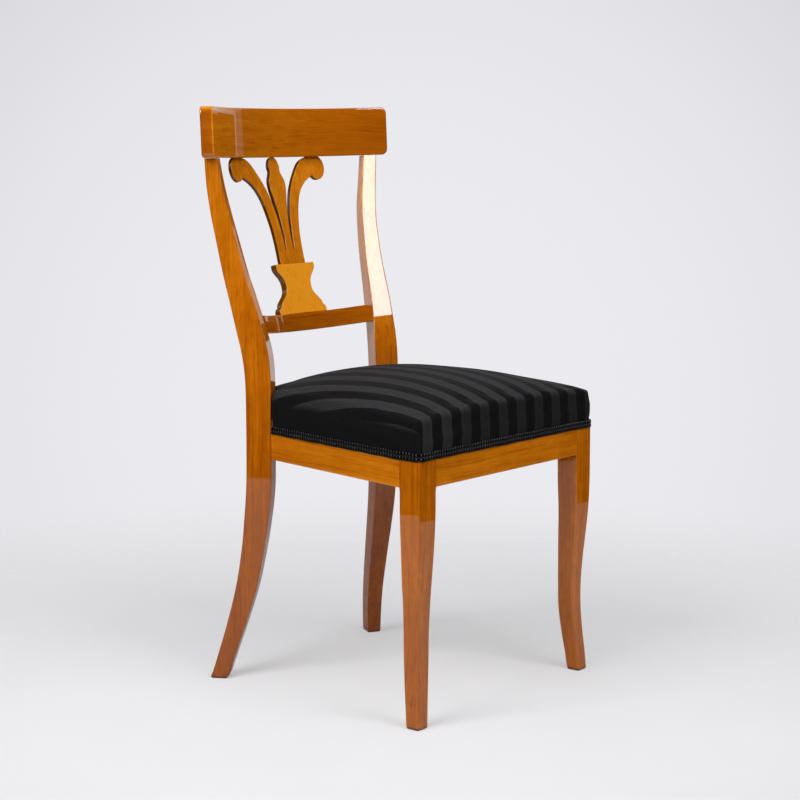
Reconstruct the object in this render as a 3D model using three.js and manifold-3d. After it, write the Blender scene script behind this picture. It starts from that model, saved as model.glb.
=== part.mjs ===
import * as THREE from 'three';
import { mergeVertices } from 'three/addons/utils/BufferGeometryUtils.js';
import Module from 'manifold-3d';

// Wooden side chair with a lyre-shaped splat and a stuffed, striped seat.
// Millimetres, +Z up. The chair faces -Y and its two sides mirror each other across X = 0.
// While it is built, Y = 0 is the face of the front rail. The group is centred at the end.

const wasm = await Module();
wasm.setup();

// Overall height, up to the top of the crest rail
const chairHeight = 899.8;

// Clearances and shared details
const jointGap = 0.3;
const cutOverrun = 20;
const arris = 1.2;

// Seat frame
const frontWidth = 438;
const legSpacing = 354;
const railUnderside = 355;
const railHeight = 62;
const railThickness = 24;
const rearRailThickness = 22;
const rearRailSetback = 14.5;
const fabricReach = 19.6;
const fabricRebate = 2.5;
const tenonThickness = 8;
const tenonLength = 12;
const tenonShoulder = 9;
const tenonFaceInset = 7;

// Front legs
const frontLegWidth = 39;
const frontLegDepth = 37;
const frontLegSweepX = 7.6;
const frontLegSweepY = 9.5;
const footChamfer = 1.6;
const footChamferHeight = 3;

// Rear legs, which run up past the seat as the stiles of the back
const rearLegSpread = 140;
const rearLegSplay = 42;
const rearLegRake = 72;
const rearLegWidth = 38.8;
const rearLegDepth = 42;
const rearLegTurn = THREE.MathUtils.degToRad(31);
const stileTenonWidth = 15;
const stileTenonLength = 26;

// Crest rail
const crestHeight = 78.8;
const crestThickness = 20;
const crestRadius = 363;
const crestOverhang = 16;
const crestCornerRadius = 10;
const crestProud = 1;
const crestTilt = THREE.MathUtils.degToRad(2.6);

// Cross rail of the back. Its rise is a share of the stile between the seat frame and the crest.
const crossRailRiseShare = 0.3948;
const crossRailHeight = 28.4;
const crossRailThickness = 17;
const crossRailRadius = 284;
const crossRailSetback = 2;
const crossRailTilt = THREE.MathUtils.degToRad(12.6);

// Splat: a vase with three plumes, the vase's height as a share of the whole
const vaseHeightShare = 0.3165;
const vaseHalfWidth = 56.5;
const vaseThickness = 12;
const vaseTenonHalfWidth = 22;
const vaseTenonLength = 12;
const vaseTenonThickness = 7;
const plumeHalfWidth = 111;
const plumeThickness = 7;
const plumeRootLength = 26;
const plumeRootShare = 0.52;
const plumeSetback = 0.5;
const tongueLength = 9;
const tongueThickness = 4;
const curlTongueHalfWidth = 7;
const tipTongueHalfWidth = 3.5;
const splatBendShare = 1.515;
const splatFacet = 20;

// Corner blocks and their screws
const blockLeg = 66;
const blockHeight = 44;
const blockDrop = 6;
const screwLength = 38;
const screwRadius = 2;
const screwHeadRadius = 4;
const screwHeadHeight = 3;
const screwSpacing = 52;

// Webbing and hessian under the stuffing
const webbingWidth = 50;
const webbingThickness = 2;
const webbingEndInset = 8;
const webbingCount = 3;
const hessianThickness = 1;

// Stuffing, cover and braid
const seatCornerHeight = 37;
const seatCrown = 41;
const seatEdgeRadius = 10;
const seatDrawIn = 2.5;
const seatBulge = 1;
const seatCornerRadius = 6;
const crownPower = 2.4;
const edgeCrownShare = 0.2;
const crownRingShares = [0.84, 0.64, 0.42, 0.2];
const coverThickness = 2;
const stileClearance = 0.6;
const skirtStep = 2;
const braidHeight = 10;
const braidThickness = 2.6;

// Heights and faces that several pieces share
const frameTop = railUnderside + railHeight;
const fabricLine = frameTop - fabricReach;
const crestUnderside = chairHeight - crestHeight;
const stileRun = crestUnderside - frameTop;
const crossRailTop = frameTop + stileRun * crossRailRiseShare;
const legOuterX = frontWidth / 2;
const crossWebbingZ = frameTop + 2 * jointGap + webbingThickness;
const hessianZ = crossWebbingZ + webbingThickness + jointGap;
const paddingZ = hessianZ + hessianThickness + jointGap;
const seatCornerTop = frameTop + seatCornerHeight;
const braidBottom = fabricLine + jointGap;

// Shapes of the legs along their height.
// A row holds shares of: height, sideways sweep, backward sweep, width and depth.
// Heights are shares of the run under the rails. In a stile they are shares of the run
// from the top of the seat frame to the crest rail.
const frontLegShares = [
  [1, 0, 0, 1, 1],
  [0.87, 0, 0, 0.985, 0.99],
  [0.74, 0.12, 0.16, 0.925, 0.92],
  [0.61, 0.48, 0.52, 0.838, 0.84],
  [0.52, 0.78, 0.78, 0.775, 0.77],
  [0.4, 1, 1, 0.72, 0.71],
  [0.29, 0.96, 0.97, 0.7, 0.7],
  [0.17, 0.64, 0.68, 0.64, 0.68],
  [0.08, 0.28, 0.4, 0.605, 0.645],
  [0, 0.08, 0.2, 0.57, 0.62],
];
const rearLegShares = [
  [0.96, 0, 0, 0.955, 0.95],
  [0.844, 0.005, 0.02, 0.935, 0.955],
  [0.717, 0.065, 0.085, 0.91, 0.915],
  [0.592, 0.125, 0.187, 0.865, 0.85],
  [0.423, 0.235, 0.355, 0.765, 0.795],
  [0.254, 0.465, 0.57, 0.685, 0.72],
  [0.127, 0.705, 0.73, 0.645, 0.67],
  [0, 0.975, 0.875, 0.6, 0.64],
];
const stileShares = [
  [1, 1, 1, 0.62, 0.46],
  [0.898, 0.85, 0.945, 0.62, 0.57],
  [0.787, 0.645, 0.855, 0.645, 0.68],
  [0.675, 0.485, 0.715, 0.68, 0.76],
  [0.563, 0.365, 0.55, 0.75, 0.83],
  [0.451, 0.24, 0.348, 0.835, 0.915],
  [0.34, 0.112, 0.165, 0.918, 0.985],
  [0.248, 0.022, 0.044, 0.98, 1],
  [0.147, 0, 0, 1, 0.96],
  [0, 0, 0, 0.982, 0.942],
];

// Materials
function finish(color, roughness) {
  return new THREE.MeshStandardMaterial({ color, roughness, metalness: 0 });
}
const lacqueredCherry = finish(0xb5690f, 0.15);
const plainBeech = finish(0xc49a63, 0.7);
const steel = new THREE.MeshStandardMaterial({ color: 0x8d8f92, roughness: 0.4, metalness: 1 });
const jute = finish(0xa98a5b, 0.95);
const horsehair = finish(0x4a4036, 1);
const stripedFabric = finish(0x1b1b1d, 0.6);
const braid = finish(0x0d0d0e, 0.8);

// Solids from three.js geometries, and meshes from solids
function solidOf(geometry) {
  const bare = geometry.clone();
  bare.deleteAttribute('normal');
  bare.deleteAttribute('uv');
  const merged = mergeVertices(bare);
  return new wasm.Manifold(new wasm.Mesh({
    numProp: 3,
    vertProperties: merged.attributes.position.array,
    triVerts: new Uint32Array(merged.index.array),
  }));
}

function meshOf(name, solid, material) {
  const { vertProperties, triVerts } = solid.getMesh();
  const geometry = new THREE.BufferGeometry();
  geometry.setAttribute('position', new THREE.BufferAttribute(new Float32Array(vertProperties), 3));
  geometry.setIndex(new THREE.BufferAttribute(new Uint32Array(triVerts), 1));
  const flat = geometry.toNonIndexed();
  flat.computeVertexNormals();
  const mesh = new THREE.Mesh(flat, material);
  mesh.name = name;
  return mesh;
}

function mirrored(solid) {
  return solid.mirror([1, 0, 0]);
}

function boxOf(x0, x1, y0, y1, z0, z1) {
  const geometry = new THREE.BoxGeometry(x1 - x0, y1 - y0, z1 - z0);
  geometry.translate((x0 + x1) / 2, (y0 + y1) / 2, (z0 + z1) / 2);
  return solidOf(geometry);
}

function solidFrom(points, index) {
  return new wasm.Manifold(new wasm.Mesh({
    numProp: 3,
    vertProperties: new Float32Array(points.flatMap((point) => point.toArray())),
    triVerts: new Uint32Array(index),
  }));
}

// Triangles of the skin through a stack of rings that starts at the point numbered first
function skinIndex(first, ringCount, count) {
  const index = [];
  for (let r = 0; r + 1 < ringCount; r += 1) {
    for (let i = 0; i < count; i += 1) {
      const a = first + r * count + i;
      const b = first + r * count + ((i + 1) % count);
      index.push(a, b, b + count, a, b + count, a + count);
    }
  }
  return index;
}

// Triangles that close the ring starting at first on one point in its middle
function fanIndex(first, count, middle) {
  const index = [];
  for (let i = 0; i < count; i += 1) {
    index.push(first + i, first + ((i + 1) % count), middle);
  }
  return index;
}

function turnedOver(index) {
  const flipped = [];
  for (let i = 0; i < index.length; i += 3) {
    flipped.push(index[i + 2], index[i + 1], index[i]);
  }
  return flipped;
}

// Closed solid through rings that all hold the same number of points
function loftOf(rings) {
  const count = rings[0].length;
  const last = (rings.length - 1) * count;
  const index = skinIndex(0, rings.length, count);
  for (let i = 1; i + 1 < count; i += 1) {
    index.push(0, i + 1, i);
    index.push(last, last + i, last + i + 1);
  }
  return solidFrom(rings.flat(), index);
}

// Rows of shares with their heights over a base and along a run
function rowsOver(shares, base, run) {
  return shares.map(([rise, ...rest]) => [base + rise * run, ...rest]);
}

// Smooth stations of a leg, from the foot up, out of its rows
function stationsOf(rows, steps, place) {
  const path = rows.map(([height, side, back]) => new THREE.Vector3(side, back, height));
  const size = rows.map(([height, , , width, depth]) => new THREE.Vector3(width, depth, height));
  const pathCurve = new THREE.CatmullRomCurve3(path, false, 'catmullrom', 0.5);
  const sizeCurve = new THREE.CatmullRomCurve3(size, false, 'catmullrom', 0.5);
  const stations = [];
  for (let i = steps; i >= 0; i -= 1) {
    const at = pathCurve.getPoint(i / steps);
    const section = sizeCurve.getPoint(i / steps);
    stations.push(place(at, section));
  }
  return stations;
}

function stationAt(stations, z) {
  const above = Math.max(1, stations.findIndex((station) => station.z >= z));
  const low = stations[above - 1];
  const high = stations[above];
  const share = (z - low.z) / (high.z - low.z);
  const at = { z };
  for (const key of ['x', 'y', 'width', 'depth']) {
    at[key] = THREE.MathUtils.lerp(low[key], high[key], share);
  }
  return at;
}

// Section of a leg: an oblong with its four corners taken off.
// x and y mark its outer front corner. The turn is the angle of its front face.
function sectionRing({ x, y, z, width, depth }, turn, cornerCut) {
  const inward = new THREE.Vector3(-Math.cos(turn), Math.sin(turn), 0);
  const back = new THREE.Vector3(Math.sin(turn), Math.cos(turn), 0);
  const corners = [
    [0, cornerCut], [cornerCut, 0],
    [width - cornerCut, 0], [width, cornerCut],
    [width, depth - cornerCut], [width - cornerCut, depth],
    [cornerCut, depth], [0, depth - cornerCut],
  ];
  const ring = corners.map(([across, along]) => new THREE.Vector3(x, y, z)
    .addScaledVector(inward, across)
    .addScaledVector(back, along));
  return ring.reverse();
}

// A leg stands on a foot whose edges are chamfered.
function legOf(stations, turn) {
  const foot = stations[0];
  const inward = new THREE.Vector3(-Math.cos(turn), Math.sin(turn), 0);
  const back = new THREE.Vector3(Math.sin(turn), Math.cos(turn), 0);
  const sole = new THREE.Vector3(foot.x, foot.y, 0)
    .addScaledVector(inward, footChamfer)
    .addScaledVector(back, footChamfer);
  const soleStation = {
    x: sole.x,
    y: sole.y,
    z: 0,
    width: foot.width - 2 * footChamfer,
    depth: foot.depth - 2 * footChamfer,
  };
  const upper = stations.filter((station) => station.z > footChamferHeight);
  const ankle = stationAt(stations, footChamferHeight);
  const all = [soleStation, ankle, ...upper];
  return loftOf(all.map((station) => sectionRing(station, turn, arris)));
}

// Half-space cuts. A face is a point on it and the outward direction of what is kept away.
function trimmed(solid, face, gap) {
  const keep = face.normal.clone().negate();
  const offset = keep.dot(face.point) + gap;
  return solid.trimByPlane(keep.toArray(), offset);
}

// What lies past a face, or nearer to it than the gap
function behind(solid, face, gap) {
  return solid.trimByPlane(face.normal.toArray(), face.normal.dot(face.point) - gap);
}

// Faces of the legs that the rails meet, on the +X side
const frontLegRows = rowsOver(frontLegShares, 0, railUnderside);
const frontLegStations = stationsOf(frontLegRows, 26, (at, section) => ({
  x: legOuterX - at.x * frontLegSweepX,
  y: at.y * frontLegSweepY,
  z: at.z,
  width: section.x * frontLegWidth,
  depth: section.y * frontLegDepth,
}));
frontLegStations.push({
  x: legOuterX,
  y: 0,
  z: frameTop,
  width: frontLegWidth,
  depth: frontLegDepth,
});

const rearLegRows = [
  ...rowsOver(stileShares, frameTop, stileRun),
  ...rowsOver(rearLegShares, 0, railUnderside),
];
const rearLegStations = stationsOf(rearLegRows, 44, (at, section) => {
  const halfWidth = section.x * rearLegWidth / 2;
  return {
    x: rearLegSpread + at.x * rearLegSplay + halfWidth * Math.cos(rearLegTurn),
    y: legSpacing + at.y * rearLegRake - halfWidth * Math.sin(rearLegTurn),
    z: at.z,
    width: section.x * rearLegWidth,
    depth: section.y * rearLegDepth,
  };
});

const rearAtSeat = stationAt(rearLegStations, (railUnderside + frameTop) / 2);
const stileFront = {
  point: new THREE.Vector3(rearAtSeat.x, rearAtSeat.y, 0),
  normal: new THREE.Vector3(Math.sin(rearLegTurn), Math.cos(rearLegTurn), 0),
};
const stileInner = {
  point: new THREE.Vector3(
    rearAtSeat.x - rearAtSeat.width * Math.cos(rearLegTurn),
    rearAtSeat.y + rearAtSeat.width * Math.sin(rearLegTurn),
    0,
  ),
  normal: new THREE.Vector3(Math.cos(rearLegTurn), -Math.sin(rearLegTurn), 0),
};
const frontLegBack = {
  point: new THREE.Vector3(0, frontLegDepth, 0),
  normal: new THREE.Vector3(0, -1, 0),
};
const frontLegInner = {
  point: new THREE.Vector3(legOuterX - frontLegWidth, 0, 0),
  normal: new THREE.Vector3(1, 0, 0),
};
const oppositeOf = (face) => ({
  point: face.point.clone().multiply(new THREE.Vector3(-1, 1, 1)),
  normal: face.normal.clone().multiply(new THREE.Vector3(-1, 1, 1)),
});

// Side rails run from the front leg to the stile, flush with the outer corner of both.
const sideStart = new THREE.Vector3(legOuterX, frontLegDepth, 0);
const sideEnd = new THREE.Vector3(rearAtSeat.x, rearAtSeat.y, 0);
const sideAlong = sideEnd.clone().sub(sideStart).normalize();
const sideInward = new THREE.Vector3(-sideAlong.y, sideAlong.x, 0);
const sideAngle = Math.atan2(sideAlong.y, sideAlong.x);
const rearRailFront = legSpacing + rearRailSetback;
const rearRailBack = rearRailFront + rearRailThickness;

// Bar along the side of the seat: from and to count inward from the outer face.
function sideBar(from, to, z0, z1) {
  const length = sideStart.distanceTo(sideEnd);
  const bar = new THREE.BoxGeometry(length + 4 * cutOverrun, to - from, z1 - z0);
  bar.translate(length / 2, (from + to) / 2, (z0 + z1) / 2);
  bar.rotateZ(sideAngle);
  bar.translate(sideStart.x, sideStart.y, 0);
  return solidOf(bar);
}

function tenonLayer(grow) {
  return {
    from: tenonFaceInset - grow,
    to: tenonFaceInset + tenonThickness + grow,
    z0: railUnderside + tenonShoulder - grow,
    z1: frameTop - 2 * tenonShoulder + grow,
  };
}

function sideTenons(grow) {
  const { from, to, z0, z1 } = tenonLayer(grow);
  const bar = sideBar(from, to, z0, z1);
  const reach = -tenonLength - grow;
  return trimmed(trimmed(bar, frontLegBack, reach), stileFront, reach);
}

function sideRailOf() {
  const blank = sideBar(0, railThickness, railUnderside, frameTop);
  const body = trimmed(trimmed(blank, frontLegBack, jointGap), stileFront, jointGap);
  return body.subtract(fabricRebateRing()).add(sideTenons(0));
}

// Rails across the seat, square to the middle of the chair
function acrossBar(y0, y1, z0, z1, face, gap) {
  const bar = boxOf(-frontWidth, frontWidth, y0, y1, z0, z1);
  return trimmed(trimmed(bar, face, gap), oppositeOf(face), gap);
}

function frontTenons(grow) {
  const { from, to, z0, z1 } = tenonLayer(grow);
  return acrossBar(from, to, z0, z1, frontLegInner, -tenonLength - grow);
}

function rearTenons(grow) {
  const { z0, z1 } = tenonLayer(grow);
  const middle = (rearRailFront + rearRailBack) / 2;
  const half = tenonThickness / 2 + grow;
  return acrossBar(middle - half, middle + half, z0, z1, stileInner, -tenonLength - grow);
}

function frontRailOf() {
  const body = acrossBar(0, railThickness, railUnderside, frameTop, frontLegInner, jointGap);
  return body.subtract(fabricRebateRing()).add(frontTenons(0));
}

function rearRailOf() {
  const body = acrossBar(rearRailFront, rearRailBack, railUnderside, frameTop, stileInner, jointGap);
  return body.subtract(fabricRebateRing()).add(rearTenons(0));
}

function frontLegOf() {
  return legOf(frontLegStations, 0)
    .subtract(frontTenons(jointGap))
    .subtract(sideTenons(jointGap))
    .subtract(fabricRebateRing());
}

// Crest rail. Its own frame has the arc level, its origin at the front of the stile tops.
const stileTop = stationAt(rearLegStations, crestUnderside);
const stileTopFrontX = stileTop.x - stileTop.width / 2 * Math.cos(rearLegTurn);
const stileTopFrontY = stileTop.y + stileTop.width / 2 * Math.sin(rearLegTurn);
const crestHalfChord = stileTop.x + crestOverhang;
const crestHalfAngle = Math.asin(crestHalfChord / crestRadius);
const crestCentreY = -Math.sqrt(crestRadius ** 2 - stileTopFrontX ** 2) - crestProud;
const crestFrame = new THREE.Matrix4()
  .makeTranslation(0, stileTopFrontY, crestUnderside)
  .multiply(new THREE.Matrix4().makeRotationX(-crestTilt));
const crestDown = new THREE.Vector3(0, 0, -1).transformDirection(crestFrame);
const crestSole = {
  point: new THREE.Vector3(0, stileTopFrontY, crestUnderside),
  normal: crestDown.clone().negate(),
};

// Curved rail: stations along an arc, each an oblong with small corners taken off.
function arcRailOf({ radius, thickness, height, halfAngle, centreY, corner, steps }) {
  const cornerAngle = corner / radius;
  const cornerSteps = corner > 0 ? 5 : 0;
  const angles = [];
  for (let i = 0; i < cornerSteps; i += 1) {
    angles.push(halfAngle - cornerAngle * (1 - Math.cos(i / cornerSteps * Math.PI / 2)));
  }
  const flat = halfAngle - (corner > 0 ? cornerAngle : 0);
  for (let i = 0; i <= steps / 2; i += 1) {
    angles.push(flat * (1 - 2 * i / steps));
  }
  const right = angles.filter((angle) => angle > 0);
  const all = [...right.map((angle) => -angle), 0, ...right.reverse()];
  const rings = all.map((angle) => {
    const left = Math.min(corner, (halfAngle - Math.abs(angle)) * radius);
    const drop = corner - Math.sqrt(Math.max(0, corner ** 2 - (corner - left) ** 2));
    const outline = [
      [0, arris], [arris, 0],
      [thickness - arris, 0], [thickness, arris],
      [thickness, height - 2 * drop - arris], [thickness - arris, height - 2 * drop],
      [arris, height - 2 * drop], [0, height - 2 * drop - arris],
    ];
    return outline.map(([out, up]) => new THREE.Vector3(
      (radius + out) * Math.sin(angle),
      centreY + (radius + out) * Math.cos(angle),
      drop + up,
    ));
  });
  return loftOf(rings);
}

// Tenon on top of a stile, square to the underside of the crest rail
function stileTenonOf(grow) {
  const geometry = new THREE.BoxGeometry(
    stileTenonWidth + 2 * grow,
    tenonThickness + 2 * grow,
    2 * (stileTenonLength + grow),
  );
  geometry.rotateZ(-Math.asin(stileTopFrontX / crestRadius));
  const middle = crestRadius + crestThickness / 2;
  const share = stileTopFrontX / crestRadius;
  geometry.translate(middle * share, crestCentreY + middle * Math.sqrt(1 - share ** 2), 0);
  geometry.applyMatrix4(crestFrame);
  return solidOf(geometry);
}

// Direction square to the inner face of a stile between two heights
function stileInnerNormal(z0, z1) {
  const low = stationAt(rearLegStations, z0);
  const high = stationAt(rearLegStations, z1);
  const edge = new THREE.Vector3(
    high.x - low.x - (high.width - low.width) * Math.cos(rearLegTurn),
    high.y - low.y + (high.width - low.width) * Math.sin(rearLegTurn),
    high.z - low.z,
  );
  const back = new THREE.Vector3(Math.sin(rearLegTurn), Math.cos(rearLegTurn), 0);
  return back.cross(edge).normalize();
}

// Cross rail of the back, in a frame like the crest rail's
const crossRailMiddleZ = crossRailTop - crossRailHeight / 2;
const stileAtCross = stationAt(rearLegStations, crossRailMiddleZ);
const crossEndX = stileAtCross.x - stileAtCross.width * Math.cos(rearLegTurn);
const crossEndY = stileAtCross.y + stileAtCross.width * Math.sin(rearLegTurn) + crossRailSetback;
const crossInner = {
  point: new THREE.Vector3(crossEndX, crossEndY - crossRailSetback, crossRailMiddleZ),
  normal: stileInnerNormal(crossRailTop - crossRailHeight, crossRailTop),
};
const crossCentreY = -Math.sqrt(crossRailRadius ** 2 - crossEndX ** 2);
const crossFrame = new THREE.Matrix4()
  .makeTranslation(0, crossEndY, crossRailTop)
  .multiply(new THREE.Matrix4().makeRotationX(-crossRailTilt))
  .multiply(new THREE.Matrix4().makeTranslation(0, 0, -crossRailHeight));

function crossBar(inset, gap) {
  const bar = arcRailOf({
    radius: crossRailRadius + inset,
    thickness: crossRailThickness - 2 * inset,
    height: crossRailHeight - 2 * inset,
    halfAngle: Math.asin((crossEndX + 2 * cutOverrun) / crossRailRadius),
    centreY: crossCentreY,
    corner: 0,
    steps: 20,
  });
  const placed = bar.translate([0, 0, inset]).transform(crossFrame.elements);
  return trimmed(trimmed(placed, crossInner, gap), oppositeOf(crossInner), gap);
}

function crossTenons(grow) {
  const inset = (crossRailThickness - tenonThickness) / 2;
  return crossBar(inset - grow, -tenonLength - grow);
}

function rearLegOf() {
  const stile = trimmed(legOf(rearLegStations, rearLegTurn), crestSole, jointGap);
  return stile
    .add(stileTenonOf(0))
    .subtract(sideTenons(jointGap))
    .subtract(rearTenons(jointGap))
    .subtract(crossTenons(jointGap));
}

// Splat frame: X across, Z up along the splat from the top of the cross rail to the crest rail.
const crossMiddleY = crossCentreY + crossRailRadius + crossRailThickness / 2;
const crestMiddleY = crestCentreY + crestRadius + crestThickness / 2;
const crossMiddle = new THREE.Vector3(0, crossMiddleY, crossRailHeight).applyMatrix4(crossFrame);
const crestMiddle = new THREE.Vector3(0, crestMiddleY, 0).applyMatrix4(crestFrame);
const splatLean = Math.atan2(crestMiddle.y - crossMiddle.y, crestMiddle.z - crossMiddle.z);
const splatHeight = crossMiddle.distanceTo(crestMiddle);
const vaseHeight = splatHeight * vaseHeightShare;
const plumeHeight = splatHeight - vaseHeight;
const splatFrame = new THREE.Matrix4()
  .makeTranslation(crossMiddle.x, crossMiddle.y, crossMiddle.z)
  .multiply(new THREE.Matrix4().makeRotationX(-splatLean));

// Board cut to a flat outline, then bent so that its upper part follows the curved crest rail.
// The setback is that of its middle layer.
const splatBendRadius = crestRadius * splatBendShare;
const plumeRootHalfWidth = vaseHalfWidth * plumeRootShare;

function prismOf(shape, depth) {
  return new THREE.ExtrudeGeometry(shape, { depth, bevelEnabled: false });
}

function bentBoard(shape, thickness, setback) {
  const geometry = prismOf(shape, thickness);
  geometry.rotateX(Math.PI / 2);
  geometry.translate(0, thickness / 2 + setback, 0);
  const bent = solidOf(geometry).refineToLength(splatFacet).warp((point) => {
    const rise = THREE.MathUtils.clamp(point[2] / splatHeight, 0, 1);
    point[1] -= rise * point[0] ** 2 / (2 * splatBendRadius);
  });
  return bent.transform(splatFrame.elements);
}

// Outlines are given for the +X half and mirrored for the other.
function mirroredShape(points) {
  const other = points.map((point) => new THREE.Vector2(-point.x, point.y)).reverse();
  const all = [...points, ...other];
  return new THREE.Shape(all.filter((point, i) => i === 0 || point.distanceTo(all[i - 1]) > arris / 4));
}

function smooth(points, steps) {
  return new THREE.SplineCurve(points).getPoints(steps);
}

// Vase: a foot with two steps, a hollowed waist and a flared lip. Shares of half width and height.
const vaseFootShares = [[1, 0], [0.99, 0.085]];
const vaseStepShares = [[0.99, 0.085], [0.95, 0.125], [0.885, 0.15]];
const vaseBeadShares = [[0.875, 0.17], [0.86, 0.21], [0.815, 0.247]];
const vaseWaistShares = [
  [0.815, 0.247], [0.72, 0.312], [0.615, 0.38], [0.548, 0.46], [0.53, 0.555],
  [0.553, 0.65], [0.62, 0.74], [0.72, 0.815], [0.79, 0.88],
];
const vaseLipShares = [[0.812, 0.935], [0.8, 1]];

function vaseShape() {
  const at = ([x, z]) => new THREE.Vector2(x * vaseHalfWidth, z * vaseHeight);
  return mirroredShape([
    ...vaseFootShares.map(at),
    ...smooth(vaseStepShares.map(at), 4),
    ...smooth(vaseBeadShares.map(at), 4),
    ...smooth(vaseWaistShares.map(at), 20),
    ...vaseLipShares.map(at),
  ]);
}

// Plumes: two that curl outward and a slim one between them. Shares of half width and height.
const plumeOuterShares = [
  [0.266, 0], [0.266, 0.16], [0.281, 0.3], [0.313, 0.42],
  [0.37, 0.555], [0.455, 0.67], [0.575, 0.752], [0.705, 0.8],
];
const curlCentreShares = [0.856, 0.886];
const curlRadiusShares = [0.144, 0.114];
const curlStart = THREE.MathUtils.degToRad(-143);
const curlEnd = THREE.MathUtils.degToRad(90);
const plumeInnerShares = [
  [0.72, 1], [0.6, 0.975], [0.505, 0.93], [0.401, 0.844], [0.313, 0.758],
  [0.23, 0.65], [0.152, 0.477], [0.112, 0.299], [0.095, 0.127],
];
const tipShares = [
  [0.082, 0.127], [0.074, 0.27], [0.094, 0.459], [0.131, 0.584], [0.168, 0.702], [0.164, 0.785],
  [0.122, 0.841], [0.107, 0.874], [0.114, 0.915], [0.086, 0.969], [0.036, 1],
];

function plumeShape() {
  const foot = vaseHeight + jointGap;
  const rise = plumeHeight - 2 * jointGap;
  const at = ([x, z]) => new THREE.Vector2(x * plumeHalfWidth, foot + z * rise);
  const centre = at(curlCentreShares);
  const radius = new THREE.Vector2(curlRadiusShares[0] * plumeHalfWidth, curlRadiusShares[1] * rise);
  const curl = new THREE.EllipseCurve(centre.x, centre.y, radius.x, radius.y, curlStart, curlEnd);
  return mirroredShape([
    new THREE.Vector2(plumeRootHalfWidth, foot - plumeRootLength),
    new THREE.Vector2(plumeRootHalfWidth, foot),
    ...smooth(plumeOuterShares.map(at), 16),
    ...curl.getPoints(18),
    ...smooth(plumeInnerShares.map(at), 20),
    ...smooth(tipShares.map(at), 22),
  ]);
}

// Tongues that hold the three plumes in the crest rail, flush with the front of the plumes
function plumeTongue(x, halfWidth, grow) {
  const top = splatHeight + tongueLength + grow;
  const bottom = splatHeight - tongueLength / 2;
  const shape = new THREE.Shape([
    new THREE.Vector2(x - halfWidth - grow, bottom),
    new THREE.Vector2(x + halfWidth + grow, bottom),
    new THREE.Vector2(x + halfWidth + grow, top),
    new THREE.Vector2(x - halfWidth - grow, top),
  ]);
  const setback = plumeSetback - (plumeThickness - tongueThickness) / 2;
  return bentBoard(shape, tongueThickness + 2 * grow, setback);
}

function plumeTongues(grow) {
  const curlX = curlCentreShares[0] * plumeHalfWidth - curlTongueHalfWidth;
  return [
    plumeTongue(curlX, curlTongueHalfWidth, grow),
    plumeTongue(0, tipTongueHalfWidth, grow),
    plumeTongue(-curlX, curlTongueHalfWidth, grow),
  ];
}

function plumesOf() {
  const board = bentBoard(plumeShape(), plumeThickness, plumeSetback);
  const cut = trimmed(board, crestSole, jointGap);
  return plumeTongues(0).reduce((solid, tongue) => solid.add(tongue), cut);
}

// Pocket in the vase for the root of the plumes
function plumeRootPocket() {
  const half = plumeRootHalfWidth + jointGap;
  const foot = vaseHeight - plumeRootLength;
  const shape = new THREE.Shape([
    new THREE.Vector2(-half, foot),
    new THREE.Vector2(half, foot),
    new THREE.Vector2(half, vaseHeight + cutOverrun),
    new THREE.Vector2(-half, vaseHeight + cutOverrun),
  ]);
  return bentBoard(shape, plumeThickness + 2 * jointGap, plumeSetback);
}

function vaseTenonOf(grow) {
  const tenon = boxOf(
    -vaseTenonHalfWidth - grow,
    vaseTenonHalfWidth + grow,
    -vaseTenonThickness / 2 - grow,
    vaseTenonThickness / 2 + grow,
    -vaseTenonLength - grow,
    vaseTenonLength,
  );
  return tenon.transform(splatFrame.elements);
}

const crossRailFace = {
  point: crossMiddle,
  normal: new THREE.Vector3(0, 0, -1).transformDirection(crossFrame),
};

function vaseOf() {
  const board = bentBoard(vaseShape(), vaseThickness, 0);
  return trimmed(board, crossRailFace, jointGap)
    .add(vaseTenonOf(0))
    .subtract(plumeRootPocket());
}

function crossRailOf() {
  return crossBar(0, jointGap).add(crossTenons(0)).subtract(vaseTenonOf(jointGap));
}

function crestRailOf() {
  const blank = arcRailOf({
    radius: crestRadius,
    thickness: crestThickness,
    height: crestHeight,
    halfAngle: crestHalfAngle,
    centreY: crestCentreY,
    corner: crestCornerRadius,
    steps: 28,
  }).transform(crestFrame.elements);
  const mortise = stileTenonOf(jointGap);
  const pockets = [mortise, mirrored(mortise), ...plumeTongues(jointGap)];
  return pockets.reduce((solid, pocket) => solid.subtract(pocket), blank);
}

// Corner blocks: glued and screwed into the four inner corners of the seat frame
const sideInnerPoint = sideStart.clone().addScaledVector(sideInward, railThickness);

function sideInnerAt(y) {
  const along = (y - sideInnerPoint.y) / sideAlong.y;
  return sideInnerPoint.clone().addScaledVector(sideAlong, along);
}

// Corner of a block, and the directions of the two rails that leave it
const blockCorners = {
  front: {
    corner: sideInnerAt(railThickness),
    first: new THREE.Vector3(-1, 0, 0),
    second: sideAlong.clone(),
  },
  rear: {
    corner: sideInnerAt(rearRailFront),
    first: new THREE.Vector3(-1, 0, 0),
    second: sideAlong.clone().negate(),
  },
};

function blockLayout({ corner, first, second }) {
  const a = corner.clone().addScaledVector(first, blockLeg);
  const b = corner.clone().addScaledVector(second, blockLeg);
  const middle = a.clone().add(b).multiplyScalar(0.5);
  const across = b.clone().sub(a).normalize();
  const inward = corner.clone().sub(middle).normalize();
  return { a, b, middle, across, inward };
}

const blockBottom = frameTop - blockDrop - blockHeight;

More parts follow.
